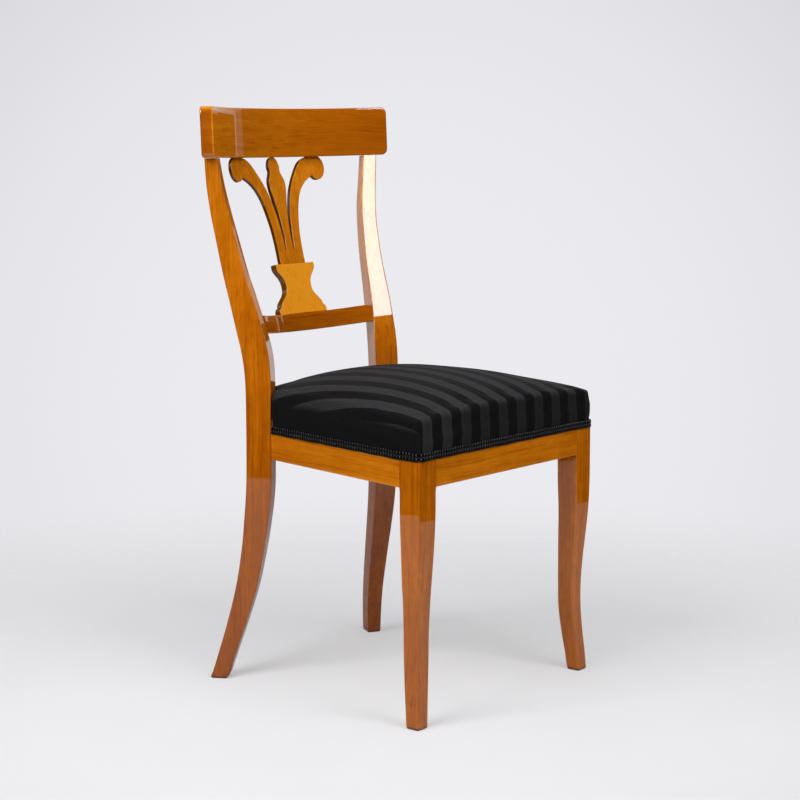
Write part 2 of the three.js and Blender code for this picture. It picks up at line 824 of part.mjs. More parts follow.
// The screws of a block, or with some growth the holes for them, open at the head
function screwsOf(place, grow) {
  const { middle, across, inward } = blockLayout(place);
  const mouth = grow > 0 ? -cutOverrun : 0;
  const profile = [
    [0, mouth],
    [screwHeadRadius + grow, mouth],
    [screwHeadRadius + grow, 0],
    [screwRadius + grow, screwHeadHeight],
    [screwRadius + grow, screwLength - screwHeadHeight],
    [0, screwLength + grow],
  ];
  const points = profile.map(([radius, height]) => new THREE.Vector2(radius, height));
  return [-1, 1].map((side) => {
    const screw = new THREE.LatheGeometry(points, 16);
    const turn = new THREE.Quaternion().setFromUnitVectors(new THREE.Vector3(0, 1, 0), inward);
    const start = middle.clone()
      .addScaledVector(across, side * screwSpacing / 2)
      .addScaledVector(inward, jointGap);
    screw.applyQuaternion(turn);
    screw.translate(start.x, start.y, blockBottom + blockHeight / 2 + side * blockHeight / 6);
    return solidOf(screw);
  });
}

// Space that the rails, legs and screws keep from a block
function frameZone(x0, x1, y0, y1) {
  return boxOf(x0, x1, y0, y1, railUnderside, frameTop);
}

function blockOf(place) {
  const { a, b } = blockLayout(place);
  const outline = new THREE.Shape([place.corner, a, b].map(({ x, y }) => new THREE.Vector2(x, y)));
  const prism = prismOf(outline, blockHeight);
  prism.translate(0, 0, blockBottom);
  const legInnerX = legOuterX - frontLegWidth - jointGap;
  const stileZone = behind(frameZone(0, frontWidth, 0, 2 * legSpacing), stileFront, jointGap);
  const taken = [
    frameZone(legInnerX, frontWidth, -cutOverrun, frontLegDepth + jointGap),
    frameZone(-frontWidth, frontWidth, -cutOverrun, railThickness + jointGap),
    frameZone(-frontWidth, frontWidth, rearRailFront - jointGap, 2 * legSpacing),
    sideBar(-cutOverrun, railThickness + jointGap, railUnderside, frameTop),
    behind(stileZone, stileInner, jointGap),
    ...screwsOf(place, jointGap),
  ];
  return taken.reduce((block, zone) => block.subtract(zone), solidOf(prism));
}

// Seat plan. The inset counts inward from the outer faces of the rails.
// At the stiles the outline steps round them with a clearance of its own.
function lineMeet(p, d, q, e) {
  const share = ((q.x - p.x) * e.y - (q.y - p.y) * e.x) / (d.x * e.y - d.y * e.x);
  return new THREE.Vector2(p.x + d.x * share, p.y + d.y * share);
}

function seatCorners(inset, clearance) {
  const sidePoint = sideStart.clone().addScaledVector(sideInward, inset);
  const stilePoint = stileFront.point.clone().addScaledVector(stileFront.normal, -clearance);
  const innerPoint = stileInner.point.clone().addScaledVector(stileInner.normal, -clearance);
  const alongX = new THREE.Vector2(1, 0);
  const frontEdge = new THREE.Vector2(0, inset);
  const rearEdge = new THREE.Vector2(0, rearRailBack - inset);
  const stileAlong = new THREE.Vector2(stileInner.normal.x, stileInner.normal.y);
  const innerAlong = new THREE.Vector2(stileFront.normal.x, stileFront.normal.y);
  const legEdge = new THREE.Vector2(legOuterX - inset, 0);
  const alongY = new THREE.Vector2(0, 1);
  return {
    front: new THREE.Vector2(legEdge.x, frontEdge.y),
    knee: lineMeet(legEdge, alongY, sidePoint, sideAlong),
    side: lineMeet(sidePoint, sideAlong, stilePoint, stileAlong),
    notch: lineMeet(stilePoint, stileAlong, innerPoint, innerAlong),
    rear: lineMeet(innerPoint, innerAlong, rearEdge, alongX),
  };
}

// Points from a towards b, without b
function spread(a, b, count) {
  const points = [];
  for (let i = 0; i < count; i += 1) {
    points.push(a.clone().lerp(b, i / count));
  }
  return points;
}

const frontEdgeCount = 7;
const sideEdgeCount = 6;
const notchCount = 2;
const rearEdgeCount = 3;

// Half outline from the middle of the front to the middle of the back, on the +X side.
// Each point says whether the cover hangs down there or stops above the rails.
// Between the two the outline takes a step of the given length.
function seatHalf(inset, clearance, step) {
  const { front, knee, side, notch, rear } = seatCorners(inset, clearance);
  const frontMiddle = new THREE.Vector2(0, front.y);
  const rearMiddle = new THREE.Vector2(0, rear.y);
  const along = new THREE.Vector2(sideAlong.x, sideAlong.y);
  const arcStart = new THREE.Vector2(front.x - seatCornerRadius, front.y);
  const arcEnd = new THREE.Vector2(front.x, front.y + seatCornerRadius);
  const corner = new THREE.QuadraticBezierCurve(arcStart, front, arcEnd).getPoints(4);
  const sideStop = side.clone().addScaledVector(along, -step);
  const rearStop = new THREE.Vector2(rear.x - step, rear.y);
  const hanging = [
    ...spread(frontMiddle, arcStart, frontEdgeCount),
    ...corner,
    ...spread(knee, sideStop, sideEdgeCount),
    sideStop,
  ];
  const folded = [...spread(side, notch, notchCount), ...spread(notch, rear, notchCount), rear];
  const back = [...spread(rearStop, rearMiddle, rearEdgeCount), rearMiddle];
  return [
    ...hanging.map((point) => ({ point, hangs: true })),
    ...folded.map((point) => ({ point, hangs: false })),
    ...back.map((point) => ({ point, hangs: true })),
  ];
}

function seatOutline(inset, clearance, step) {
  const half = seatHalf(inset, clearance, step);
  const other = half.slice(1, -1).reverse().map(({ point, hangs }) => ({
    point: new THREE.Vector2(-point.x, point.y),
    hangs,
  }));
  return [...half, ...other];
}

// Strip that is cut from the outer faces of the seat frame to take the fabric
function fabricRebateRing() {
  const outline = seatOutline(fabricRebate, 0, 0).map(({ point }) => point);
  const inside = prismOf(new THREE.Shape(outline), railHeight + cutOverrun);
  inside.translate(0, 0, fabricLine);
  const top = frameTop + cutOverrun / 2;
  const slab = boxOf(-frontWidth, frontWidth, -cutOverrun, 2 * legSpacing, fabricLine, top);
  return slab.subtract(solidOf(inside));
}

const seatMiddle = new THREE.Vector2(0, rearRailBack / 2);

// Height of the stuffed top: highest in the middle, a little crowned along each edge.
function crownAt(x, y) {
  const width = Math.min(legOuterX, sideStart.x + (y - sideStart.y) * sideAlong.x / sideAlong.y);
  const a = Math.min(1, Math.abs(x / width)) ** crownPower;
  const b = Math.min(1, Math.abs((y - seatMiddle.y) / seatMiddle.y)) ** crownPower;
  const both = (1 - a) * (1 - b) * (1 - 2 * edgeCrownShare);
  const edges = edgeCrownShare * (1 - a) + edgeCrownShare * (1 - b);
  return seatCornerTop + seatCrown * (both + edges);
}

// Rings of a stuffed form, from its lower rim over the rolled edge to near the middle.
// Lower is how far it lies under the crown of the finished seat.
function cushionRings(inset, clearance, bottom, foldedBottom, lower) {
  const rings = [];
  const wall = (extra, zOf) => {
    const outline = seatOutline(inset + extra, clearance + Math.max(0, extra), skirtStep);
    rings.push(outline.map(({ point, hangs }) => (
      new THREE.Vector3(point.x, point.y, zOf(point, hangs))
    )));
  };
  const shoulder = seatEdgeRadius - lower;
  wall(0, (point, hangs) => (hangs ? bottom : foldedBottom));
  if (bottom < frameTop) {
    const braidTop = braidBottom + braidHeight + jointGap;
    wall(0, (point, hangs) => (hangs ? braidTop : foldedBottom + jointGap));
  }
  wall(-seatBulge, () => frameTop + seatCornerHeight / 3);
  for (let i = 0; i <= 3; i += 1) {
    const angle = i / 3 * Math.PI / 2;
    const extra = seatDrawIn + shoulder * (1 - Math.cos(angle));
    wall(extra, (point) => crownAt(point.x, point.y) - lower - shoulder * (1 - Math.sin(angle)));
  }
  const rim = rings[rings.length - 1];
  for (const share of crownRingShares) {
    rings.push(rim.map((point) => {
      const x = point.x * share;
      const y = seatMiddle.y + (point.y - seatMiddle.y) * share;
      return new THREE.Vector3(x, y, crownAt(x, y) - lower);
    }));
  }
  return rings;
}

function crownMiddle(lower) {
  return new THREE.Vector3(seatMiddle.x, seatMiddle.y, crownAt(seatMiddle.x, seatMiddle.y) - lower);
}

// Stuffing: a closed form over a flat underside
function paddingOf() {
  const clearance = stileClearance + coverThickness + jointGap;
  const lower = coverThickness + jointGap;
  const rings = cushionRings(fabricRebate, clearance, paddingZ, paddingZ, lower);
  const count = rings[0].length;
  const last = (rings.length - 1) * count;
  const top = rings.length * count;
  const underside = new THREE.Vector3(seatMiddle.x, seatMiddle.y, paddingZ);
  return solidFrom([...rings.flat(), crownMiddle(lower), underside], [
    ...skinIndex(0, rings.length, count),
    ...fanIndex(last, count, top),
    ...turnedOver(fanIndex(0, count, top + 1)),
  ]);
}

// Cover: a skin over the stuffing. Its skirt hangs over the rails and stops short of the stiles.
function coverOf() {
  const inset = fabricRebate - jointGap;
  const clearance = stileClearance + coverThickness;
  const folded = frameTop + jointGap;
  const outer = cushionRings(inset - coverThickness, stileClearance, braidBottom, folded, 0);
  const inner = cushionRings(inset, clearance, braidBottom, folded, coverThickness);
  const count = outer[0].length;
  const last = (outer.length - 1) * count;
  const innerFirst = outer.length * count;
  const top = 2 * innerFirst;
  const hem = [];
  for (let i = 0; i < count; i += 1) {
    const next = (i + 1) % count;
    hem.push(innerFirst + i, innerFirst + next, next, innerFirst + i, next, i);
  }
  const points = [...outer.flat(), ...inner.flat(), crownMiddle(0), crownMiddle(coverThickness)];
  return solidFrom(points, [
    ...skinIndex(0, outer.length, count),
    ...fanIndex(last, count, top),
    ...turnedOver(skinIndex(innerFirst, outer.length, count)),
    ...turnedOver(fanIndex(innerFirst + last, count, top + 1)),
    ...hem,
  ]);
}

// Braid over the lower edge of the cover: one length round the front and sides, one at the back
function braidPath(inset) {
  const { front, knee, side } = seatCorners(inset, stileClearance);
  const radius = seatCornerRadius;
  const arcStart = new THREE.Vector2(front.x - radius, front.y);
  const arcEnd = new THREE.Vector2(front.x, front.y + radius);
  const corner = new THREE.QuadraticBezierCurve(arcStart, front, arcEnd).getPoints(5);
  const half = [...corner, knee, side];
  const other = half.map((point) => new THREE.Vector2(-point.x, point.y)).reverse();
  return [...other, ...half];
}

function braidRoundOf() {
  const outline = [...braidPath(-jointGap - braidThickness), ...braidPath(-jointGap).reverse()];
  const band = prismOf(new THREE.Shape(outline), braidHeight);
  band.translate(0, 0, braidBottom);
  return solidOf(band);
}

function braidRearOf() {
  const reach = seatCorners(0, stileClearance).rear.x - stileClearance;
  const face = rearRailBack + jointGap;
  return boxOf(-reach, reach, face, face + braidThickness, braidBottom, braidBottom + braidHeight);
}

// Webbing: straps from front to back, and straps across on top of them
function lengthwiseStrap(number) {
  const run = seatCorners(0, 0).notch.x * 2 - webbingWidth - 2 * webbingEndInset;
  const x = (number / (webbingCount - 1) - 0.5) * run;
  const z = frameTop + jointGap;
  return boxOf(
    x - webbingWidth / 2,
    x + webbingWidth / 2,
    webbingEndInset,
    rearRailBack - webbingEndInset,
    z,
    z + webbingThickness,
  );
}

function acrossStrap(number) {
  const y = railThickness + (number + 1) * (rearRailFront - railThickness) / (webbingCount + 1);
  const rear = y + webbingWidth / 2;
  const reach = sideStart.x + (rear - sideStart.y) * sideAlong.x / sideAlong.y - webbingEndInset;
  return boxOf(-reach, reach, y - webbingWidth / 2, rear, crossWebbingZ, crossWebbingZ + webbingThickness);
}

function hessianOf() {
  const outline = seatOutline(webbingEndInset, webbingEndInset, skirtStep).map(({ point }) => point);
  const sheet = prismOf(new THREE.Shape(outline), hessianThickness);
  sheet.translate(0, 0, hessianZ);
  return solidOf(sheet);
}

// Assembly
const chair = new THREE.Group();
chair.name = 'lyre_back_chair';

function addPiece(name, solid, material) {
  chair.add(meshOf(name, solid, material));
}

function addPair(name, solid, material) {
  addPiece(`${name}_right`, solid, material);
  addPiece(`${name}_left`, mirrored(solid), material);
}

const screwHoles = ['front', 'rear'].flatMap((place) => screwsOf(blockCorners[place], jointGap));

function drilled(solid) {
  return screwHoles.reduce((rail, hole) => rail.subtract(hole).subtract(mirrored(hole)), solid);
}

addPair('rear_leg', rearLegOf(), lacqueredCherry);
addPair('front_leg', frontLegOf(), lacqueredCherry);
addPair('side_rail', drilled(sideRailOf()), lacqueredCherry);
addPiece('front_rail', drilled(frontRailOf()), lacqueredCherry);
addPiece('rear_seat_rail', drilled(rearRailOf()), lacqueredCherry);
addPiece('crest_rail', crestRailOf(), lacqueredCherry);
addPiece('back_cross_rail', crossRailOf(), lacqueredCherry);
addPiece('splat_vase', vaseOf(), lacqueredCherry);
addPiece('splat_plumes', plumesOf(), lacqueredCherry);
for (const place of ['front', 'rear']) {
  addPair(`corner_block_${place}`, blockOf(blockCorners[place]), plainBeech);
  screwsOf(blockCorners[place], 0).forEach((screw, i) => {
    addPair(`block_screw_${place}_${i + 1}`, screw, steel);
  });
}
for (let i = 0; i < webbingCount; i += 1) {
  addPiece(`webbing_lengthwise_${i + 1}`, lengthwiseStrap(i), jute);
  addPiece(`webbing_across_${i + 1}`, acrossStrap(i), jute);
}
addPiece('hessian_sheet', hessianOf(), jute);
addPiece('seat_padding', paddingOf(), horsehair);
addPiece('seat_cover', coverOf(), stripedFabric);
addPiece('braid_front_and_sides', braidRoundOf(), braid);
addPiece('braid_rear', braidRearOf(), braid);

// The origin is on the floor, under the middle of the chair.
const extent = new THREE.Box3().setFromObject(chair);
chair.position.y = -(extent.min.y + extent.max.y) / 2;

export default chair;
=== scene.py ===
import math

import bmesh
import bpy
import numpy as np
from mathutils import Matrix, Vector, geometry, noise


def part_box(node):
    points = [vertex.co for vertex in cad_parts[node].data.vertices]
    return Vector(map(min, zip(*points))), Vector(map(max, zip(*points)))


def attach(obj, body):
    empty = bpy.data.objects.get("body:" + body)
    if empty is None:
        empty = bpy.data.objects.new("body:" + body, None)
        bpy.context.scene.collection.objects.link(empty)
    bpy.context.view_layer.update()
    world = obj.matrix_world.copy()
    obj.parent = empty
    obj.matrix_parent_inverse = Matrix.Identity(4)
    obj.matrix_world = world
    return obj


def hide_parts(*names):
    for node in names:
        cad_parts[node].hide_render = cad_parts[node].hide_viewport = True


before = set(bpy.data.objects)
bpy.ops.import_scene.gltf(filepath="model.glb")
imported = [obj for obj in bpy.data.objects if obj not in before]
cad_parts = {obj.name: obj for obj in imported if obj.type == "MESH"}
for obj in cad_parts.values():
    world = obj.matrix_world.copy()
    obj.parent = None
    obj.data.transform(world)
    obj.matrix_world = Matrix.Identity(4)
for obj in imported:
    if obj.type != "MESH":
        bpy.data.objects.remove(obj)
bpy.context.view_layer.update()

# A wooden side chair with a plumed splat and a stuffed, striped seat.
# Shapes are worked out in millimetres, with Y counted from the face of the front rail,
# and change to the frame's metres when a mesh is made.

SCENE = bpy.context.scene
MM = 0.001
FRONT_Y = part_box("front_rail")[0].y

# Sizes of the model that the fine surfaces follow
JOINT_GAP = 0.3
GLUE_LINE = 0.06
ARRIS = 1.5
CHAIR_HEIGHT = 899.8
FRONT_WIDTH = 438
LEG_SPACING = 354
RAIL_UNDERSIDE = 355
FRAME_TOP = 417
RAIL_THICKNESS = 24
REAR_RAIL_THICKNESS = 22
REAR_RAIL_SETBACK = 14.5
FABRIC_LINE = 397.4
FABRIC_REBATE = 2.5
LEG_WIDTH, LEG_DEPTH = 39, 37
LEG_SWEEP_X, LEG_SWEEP_Y = 7.6, 9.5
STILE_SPREAD, STILE_SPLAY, STILE_RAKE = 140, 42, 72
STILE_WIDTH, STILE_DEPTH = 38.8, 42
STILE_TURN = math.radians(31)
CREST_HEIGHT = 78.8
CREST_UNDERSIDE = CHAIR_HEIGHT - CREST_HEIGHT
CREST_THICKNESS = 20
CREST_RADIUS = 363
CREST_OVERHANG = 16
CREST_CORNER = 10
CREST_PROUD = 1
CREST_TILT = math.radians(2.6)
STILE_RUN = CREST_UNDERSIDE - FRAME_TOP
CROSS_TOP = FRAME_TOP + STILE_RUN * 0.3948
CROSS_HEIGHT = 28.4
CROSS_THICKNESS = 17
CROSS_RADIUS = 284
CROSS_SETBACK = 2
CROSS_TILT = math.radians(12.6)
VASE_SHARE = 0.3165
VASE_HALF_WIDTH = 56.5
VASE_THICKNESS = 12
PLUME_HALF_WIDTH = 111
PLUME_THICKNESS = 7
PLUME_SETBACK = 0.5
SPLAT_BEND = CREST_RADIUS * 1.515
SEAT_CORNER_TOP = FRAME_TOP + 37
SEAT_CROWN = 41
CROWN_POWER = 2.4
EDGE_CROWN = 0.2
SEAT_CORNER_RADIUS = 6
STILE_CLEARANCE = 0.6
BRAID_HEIGHT = 10

# Rows of a leg: height, sideways sweep, backward sweep, width and depth, as shares
FRONT_LEG = [
    (1, 0, 0, 1, 1), (0.87, 0, 0, 0.985, 0.99), (0.74, 0.12, 0.16, 0.925, 0.92),
    (0.61, 0.48, 0.52, 0.838, 0.84), (0.52, 0.78, 0.78, 0.775, 0.77),
    (0.4, 1, 1, 0.72, 0.71), (0.29, 0.96, 0.97, 0.7, 0.7), (0.17, 0.64, 0.68, 0.64, 0.68),
    (0.08, 0.28, 0.4, 0.605, 0.645), (0, 0.08, 0.2, 0.57, 0.62),
]
REAR_LEG = [
    (0.96, 0, 0, 0.955, 0.95), (0.844, 0.005, 0.02, 0.935, 0.955),
    (0.717, 0.065, 0.085, 0.91, 0.915), (0.592, 0.125, 0.187, 0.865, 0.85),
    (0.423, 0.235, 0.355, 0.765, 0.795), (0.254, 0.465, 0.57, 0.685, 0.72),
    (0.127, 0.705, 0.73, 0.645, 0.67), (0, 0.975, 0.875, 0.6, 0.64),
]
STILE = [
    (1, 1, 1, 0.62, 0.46), (0.898, 0.85, 0.945, 0.62, 0.57), (0.787, 0.645, 0.855, 0.645, 0.68),
    (0.675, 0.485, 0.715, 0.68, 0.76), (0.563, 0.365, 0.55, 0.75, 0.83),
    (0.451, 0.24, 0.348, 0.835, 0.915), (0.34, 0.112, 0.165, 0.918, 0.985),
    (0.248, 0.022, 0.044, 0.98, 1), (0.147, 0, 0, 1, 0.96), (0, 0, 0, 0.982, 0.942),
]


# ---- Materials

class Shader:
    """A material, or a world, whose nodes are added one by one."""

    def __init__(self, name, blocks=None):
        self.block = (bpy.data.materials if blocks is None else blocks).new(name)
        self.block.use_nodes = True
        self.tree = self.block.node_tree
        self.tree.nodes.clear()
        self.coordinates = self.add("ShaderNodeTexCoord").outputs
        self.place = self.coordinates["Object"]

    def add(self, kind, sockets=None, **settings):
        node = self.tree.nodes.new(kind)
        for key, value in settings.items():
            setattr(node, key, value)
        for key, value in (sockets or {}).items():
            if isinstance(value, bpy.types.NodeSocket):
                self.tree.links.new(value, node.inputs[key])
            else:
                node.inputs[key].default_value = value
        return node

    def mapped(self, source, scale=(1, 1, 1), rotation=(0, 0, 0), location=(0, 0, 0)):
        return self.add("ShaderNodeMapping", {
            "Vector": source, "Scale": scale, "Rotation": rotation, "Location": location,
        }).outputs[0]

    def noise(self, source, scale, detail=2.0, roughness=0.5, distortion=0.0, output="Fac"):
        """Noise. A scale of three numbers stretches it."""
        if isinstance(scale, tuple):
            source, scale = self.mapped(source, scale), 1.0
        return self.add("ShaderNodeTexNoise", {
            "Vector": source, "Scale": scale, "Detail": detail,
            "Roughness": roughness, "Distortion": distortion,
        }).outputs[output]

    def attribute(self, name):
        return self.add("ShaderNodeAttribute", attribute_name=name).outputs["Fac"]

    def split(self, source):
        return self.add("ShaderNodeSeparateXYZ", {"Vector": source}).outputs

    def normal(self, axis):
        return self.split(self.add("ShaderNodeNewGeometry").outputs["Normal"])[axis]

    def math(self, operation, a, b=0.0, c=0.0):
        return self.add("ShaderNodeMath", {0: a, 1: b, 2: c}, operation=operation).outputs[0]

    def times(self, a, b):
        return self.math("MULTIPLY", a, b)

    def times_plus(self, a, b, c):
        return self.math("MULTIPLY_ADD", a, b, c)

    def away(self, value, middle):
        """How far the value lies from the middle, either way."""
        return self.math("ABSOLUTE", self.math("SUBTRACT", value, middle))

    def wave(self, value, length, kind="SINE"):
        return self.math(kind, self.times(value, 2 * math.pi / length))

    def spread(self, value, low, high, to_low=0.0, to_high=1.0, smooth=False):
        return self.add("ShaderNodeMapRange", {
            "Value": value, "From Min": low, "From Max": high, "To Min": to_low, "To Max": to_high,
        }, interpolation_type="SMOOTHSTEP" if smooth else "LINEAR").outputs[0]

    def mix(self, share, a, b, blend="MIX"):
        return self.add("ShaderNodeMix", {0: share, 6: a, 7: b},
                        data_type="RGBA", blend_type=blend).outputs[2]

    def mix_shader(self, share, a, b):
        return self.add("ShaderNodeMixShader", {
            0: share, 1: a.outputs[0], 2: b.outputs[0]}).outputs[0]

    def ramp(self, value, stops):
        node = self.add("ShaderNodeValToRGB", {"Fac": value})
        marks = node.color_ramp.elements
        marks[0].position, marks[0].color = stops[0][0], rgb(*stops[0][1])
        marks[1].position, marks[1].color = stops[-1][0], rgb(*stops[-1][1])
        for position, color in stops[1:-1]:
            marks.new(position).color = rgb(*color)
        return node.outputs["Color"]

    def bump(self, height, strength, distance, normal=None):
        sockets = {"Height": height, "Strength": strength, "Distance": distance}
        if normal is not None:
            sockets["Normal"] = normal
        return self.add("ShaderNodeBump", sockets).outputs[0]

    def shown(self, surface, kind="Material"):
        self.add(f"ShaderNodeOutput{kind}", {"Surface": surface})
        return self.block

    def finish(self, sockets):
        return self.shown(self.add("ShaderNodeBsdfPrincipled", sockets).outputs[0])


def rgb(*parts):
    return (*parts, 1)


UPRIGHT = (0, math.radians(90), 0)
LYING = (0, 0, 0)
# Height at which the painted shade toward the floor leaves the wood's tone as it is
SHADE_PIVOT_HEIGHT = 0.45
CHERRY_TONES = [
    (0.0, (0.125, 0.025, 0.001)), (0.3, (0.26, 0.059, 0.0014)), (0.55, (0.41, 0.104, 0.002)),
    (0.8, (0.61, 0.185, 0.0055)), (1.0, (0.88, 0.33, 0.016)),
]
# The sawn edges' dark colour is a painted shade.
END_GRAIN, EDGE_SHADE = rgb(0.20, 0.035, 0.001), rgb(0.035, 0.009, 0.002)
DARK_LINE, DARK_FLECK = rgb(0.78, 0.68, 0.6), rgb(0.7, 0.6, 0.5)
DARK_SOLE = rgb(0.03, 0.012, 0.004)


def cherry(name, turn, heart, tone, floor_shade=0.0, depth=1.0, arc=0.015, figure=1.0, shade_slope_x=0.0,
           ends=False, edges=False):
    """Lacquered cherry. turn lays the grain along local X, heart shifts the board it is cut from.

    tone is how pale the wood is at SHADE_PIVOT_HEIGHT, and floor_shade how much darker it is
    at the floor: a painted shade, which pales the wood above that height at the same rate.
    A low depth lays the years flat, as in a piece that curves, and arc is how far the grain
    sways, in metres. figure is how strongly the grain shows, and shade_slope_x how much paler
    the piece gets toward +X, a painted light and shade. ends darkens the end grain, and edges
    paints shade on the sawn edges.
    """
    s = Shader(f"cherry_{name}")
    board = s.mapped(s.mapped(s.place, rotation=turn, location=heart), scale=(1, depth, 1))
    sway = s.noise(board, (2.4, 5, 5), 1.0, output="Color")
    sway = s.add("ShaderNodeVectorMath", {0: sway, 1: (0.5, 0.5, 0.5)},
                 operation="SUBTRACT").outputs[0]
    bent = s.add("ShaderNodeVectorMath", {0: sway, 1: (0, arc, arc), 2: board},
                 operation="MULTIPLY_ADD").outputs[0]
    fibre = s.noise(bent, (30, 1100, 1100))
    x, _, height = s.split(s.place)
    # Painted shade: the wood gets darker toward the floor and paler higher up, by a share set for
    # each piece.
    value = s.times_plus(height, floor_shade / SHADE_PIVOT_HEIGHT, tone - floor_shade)
    # Painted light and shade: the piece gets paler or darker toward +X.
    value = s.times_plus(x, shade_slope_x, value)
    for part, share in (
            (s.noise(bent, (3.5, 95, 95)), 0.34), (s.noise(bent, (8, 380, 380), 3.0, 0.6), 0.22),
            (fibre, 0.22), (s.noise(board, (5, 11, 11), distortion=0.3), 0.34),
            (s.noise(board, (60, 90, 90)), 0.17)):
        value = s.times_plus(s.math("SUBTRACT", part, 0.5), share * figure, value)
    line = s.spread(s.noise(bent, (7, 330, 330), 1.0, 0.4), 0.55, 0.72, smooth=True)
    fleck = s.spread(s.noise(bent, (28, 800, 800), 1.0), 0.60, 0.72)
    color = s.mix(s.times(line, figure), s.ramp(value, CHERRY_TONES), DARK_LINE, "MULTIPLY")
    color = s.mix(s.times(fleck, 0.3 * figure), color, DARK_FLECK, "MULTIPLY")
    if ends:
        cut = s.spread(s.math("ABSOLUTE", s.normal("X")), 0.6, 0.85, 0, 0.8, True)
        color = s.mix(cut, color, END_GRAIN)
    # Painted shade on the sawn edges of the splat's boards.
    if edges:
        color = s.mix(s.spread(s.attribute("sawn"), 0.2, 0.9, 0, 0.86), color, EDGE_SHADE)
    # Darker at the very bottom, within a few millimetres of the floor, with a ragged edge.
    sole_noise = s.noise(s.place, (90, 90, 60), 3.0)
    sole = s.spread(s.times_plus(sole_noise, 0.006, height), 0.0045, 0.0085, 1, 0, True)
    color = s.mix(s.times(sole, 0.8), color, DARK_SOLE)
    return s.finish({
        "Base Color": color, "Roughness": 0.5, "Specular IOR Level": 0.0,
        "Normal": s.bump(fibre, 0.05, 0.0002), "Coat Weight": 1.0, "Coat Roughness": 0.02,
        "Coat IOR": 1.5, "Coat Normal": s.bump(s.noise(s.place, 22.0, 1.0), 0.05, 0.0006),
    })


def beech():
    s = Shader("plain_beech")
    board = s.mapped(s.place, rotation=UPRIGHT)
    streak = s.noise(board, (14, 320, 320), 4.0, 0.6)
    fleck = s.spread(s.noise(board, (190, 620, 620), 1.0), 0.6, 0.72)
    color = s.ramp(streak, [(0.2, (0.34, 0.19, 0.085)), (0.8, (0.56, 0.36, 0.19))])
    color = s.mix(s.times(fleck, 0.5), color, rgb(0.26, 0.13, 0.05))
    return s.finish({"Base Color": color, "Roughness": 0.72, "Normal": s.bump(streak, 0.3, 0.0004)})


def steel():
    s = Shader("screw_steel")
    wear = s.noise(s.place, 900.0, 4.0)
    color = s.ramp(wear, [(0.3, (0.33, 0.33, 0.34)), (0.75, (0.56, 0.56, 0.57))])
    return s.finish({
        "Base Color": color, "Metallic": 1.0, "Normal": s.bump(wear, 0.2, 0.0001),
        "Roughness": s.spread(wear, 0.3, 0.8, 0.28, 0.55),
    })


def weave(s, across, along, pitch):
    """Height of a plain weave: 1 where a thread lies on top. Coordinates are in metres."""
    warp, weft = s.wave(across, 2 * pitch), s.wave(along, 2 * pitch)
    over = s.spread(s.times(warp, weft), -0.25, 0.25)
    return s.math("ADD", s.times(over, s.math("ABSOLUTE", warp)),
                  s.times(s.math("SUBTRACT", 1.0, over), s.math("ABSOLUTE", weft)))


STRAP_LINE = 0.72


def jute(name, pitch, striped=False):
    """Woven jute. A striped strap has a dark line near each edge, where across is STRAP_LINE."""
    s = Shader(name)
    cloth = weave(s, *s.split(s.place)[:2], pitch)
    hair = s.noise(s.place, (300, 300, 300), 4.0)
    color = s.ramp(s.times_plus(cloth, 0.35, s.times(hair, 0.6)), [
        (0.2, (0.16, 0.095, 0.04)), (0.6, (0.38, 0.26, 0.13)), (0.9, (0.55, 0.42, 0.25)),
    ])
    if striped:
        line = s.spread(s.away(s.attribute("across"), STRAP_LINE), 0.05, 0.09, 0.75, 0)
        color = s.mix(line, color, rgb(0.10, 0.035, 0.02))
    return s.finish({
        "Base Color": color, "Roughness": 0.95, "Sheen Weight": 0.25, "Sheen Roughness": 0.5,
        "Normal": s.bump(s.times_plus(hair, 0.3, cloth), 0.8, 0.0006),
    })


def horsehair():
    s = Shader("curled_hair")
    curl = s.noise(s.place, (160, 160, 60), 6.0, 0.75, 2.5)
    color = s.ramp(curl, [(0.3, (0.012, 0.009, 0.007)), (0.7, (0.11, 0.085, 0.06))])
    return s.finish({
        "Base Color": color, "Roughness": 0.8, "Sheen Weight": 0.3,
        "Normal": s.bump(curl, 1.0, 0.004),
    })


STRIPE_PITCH = 0.046
STRIPE_PHASE = -0.0065
RIB_PITCH, PICK_PITCH, TWILL_PITCH = 0.0011, 0.0009, 0.0016


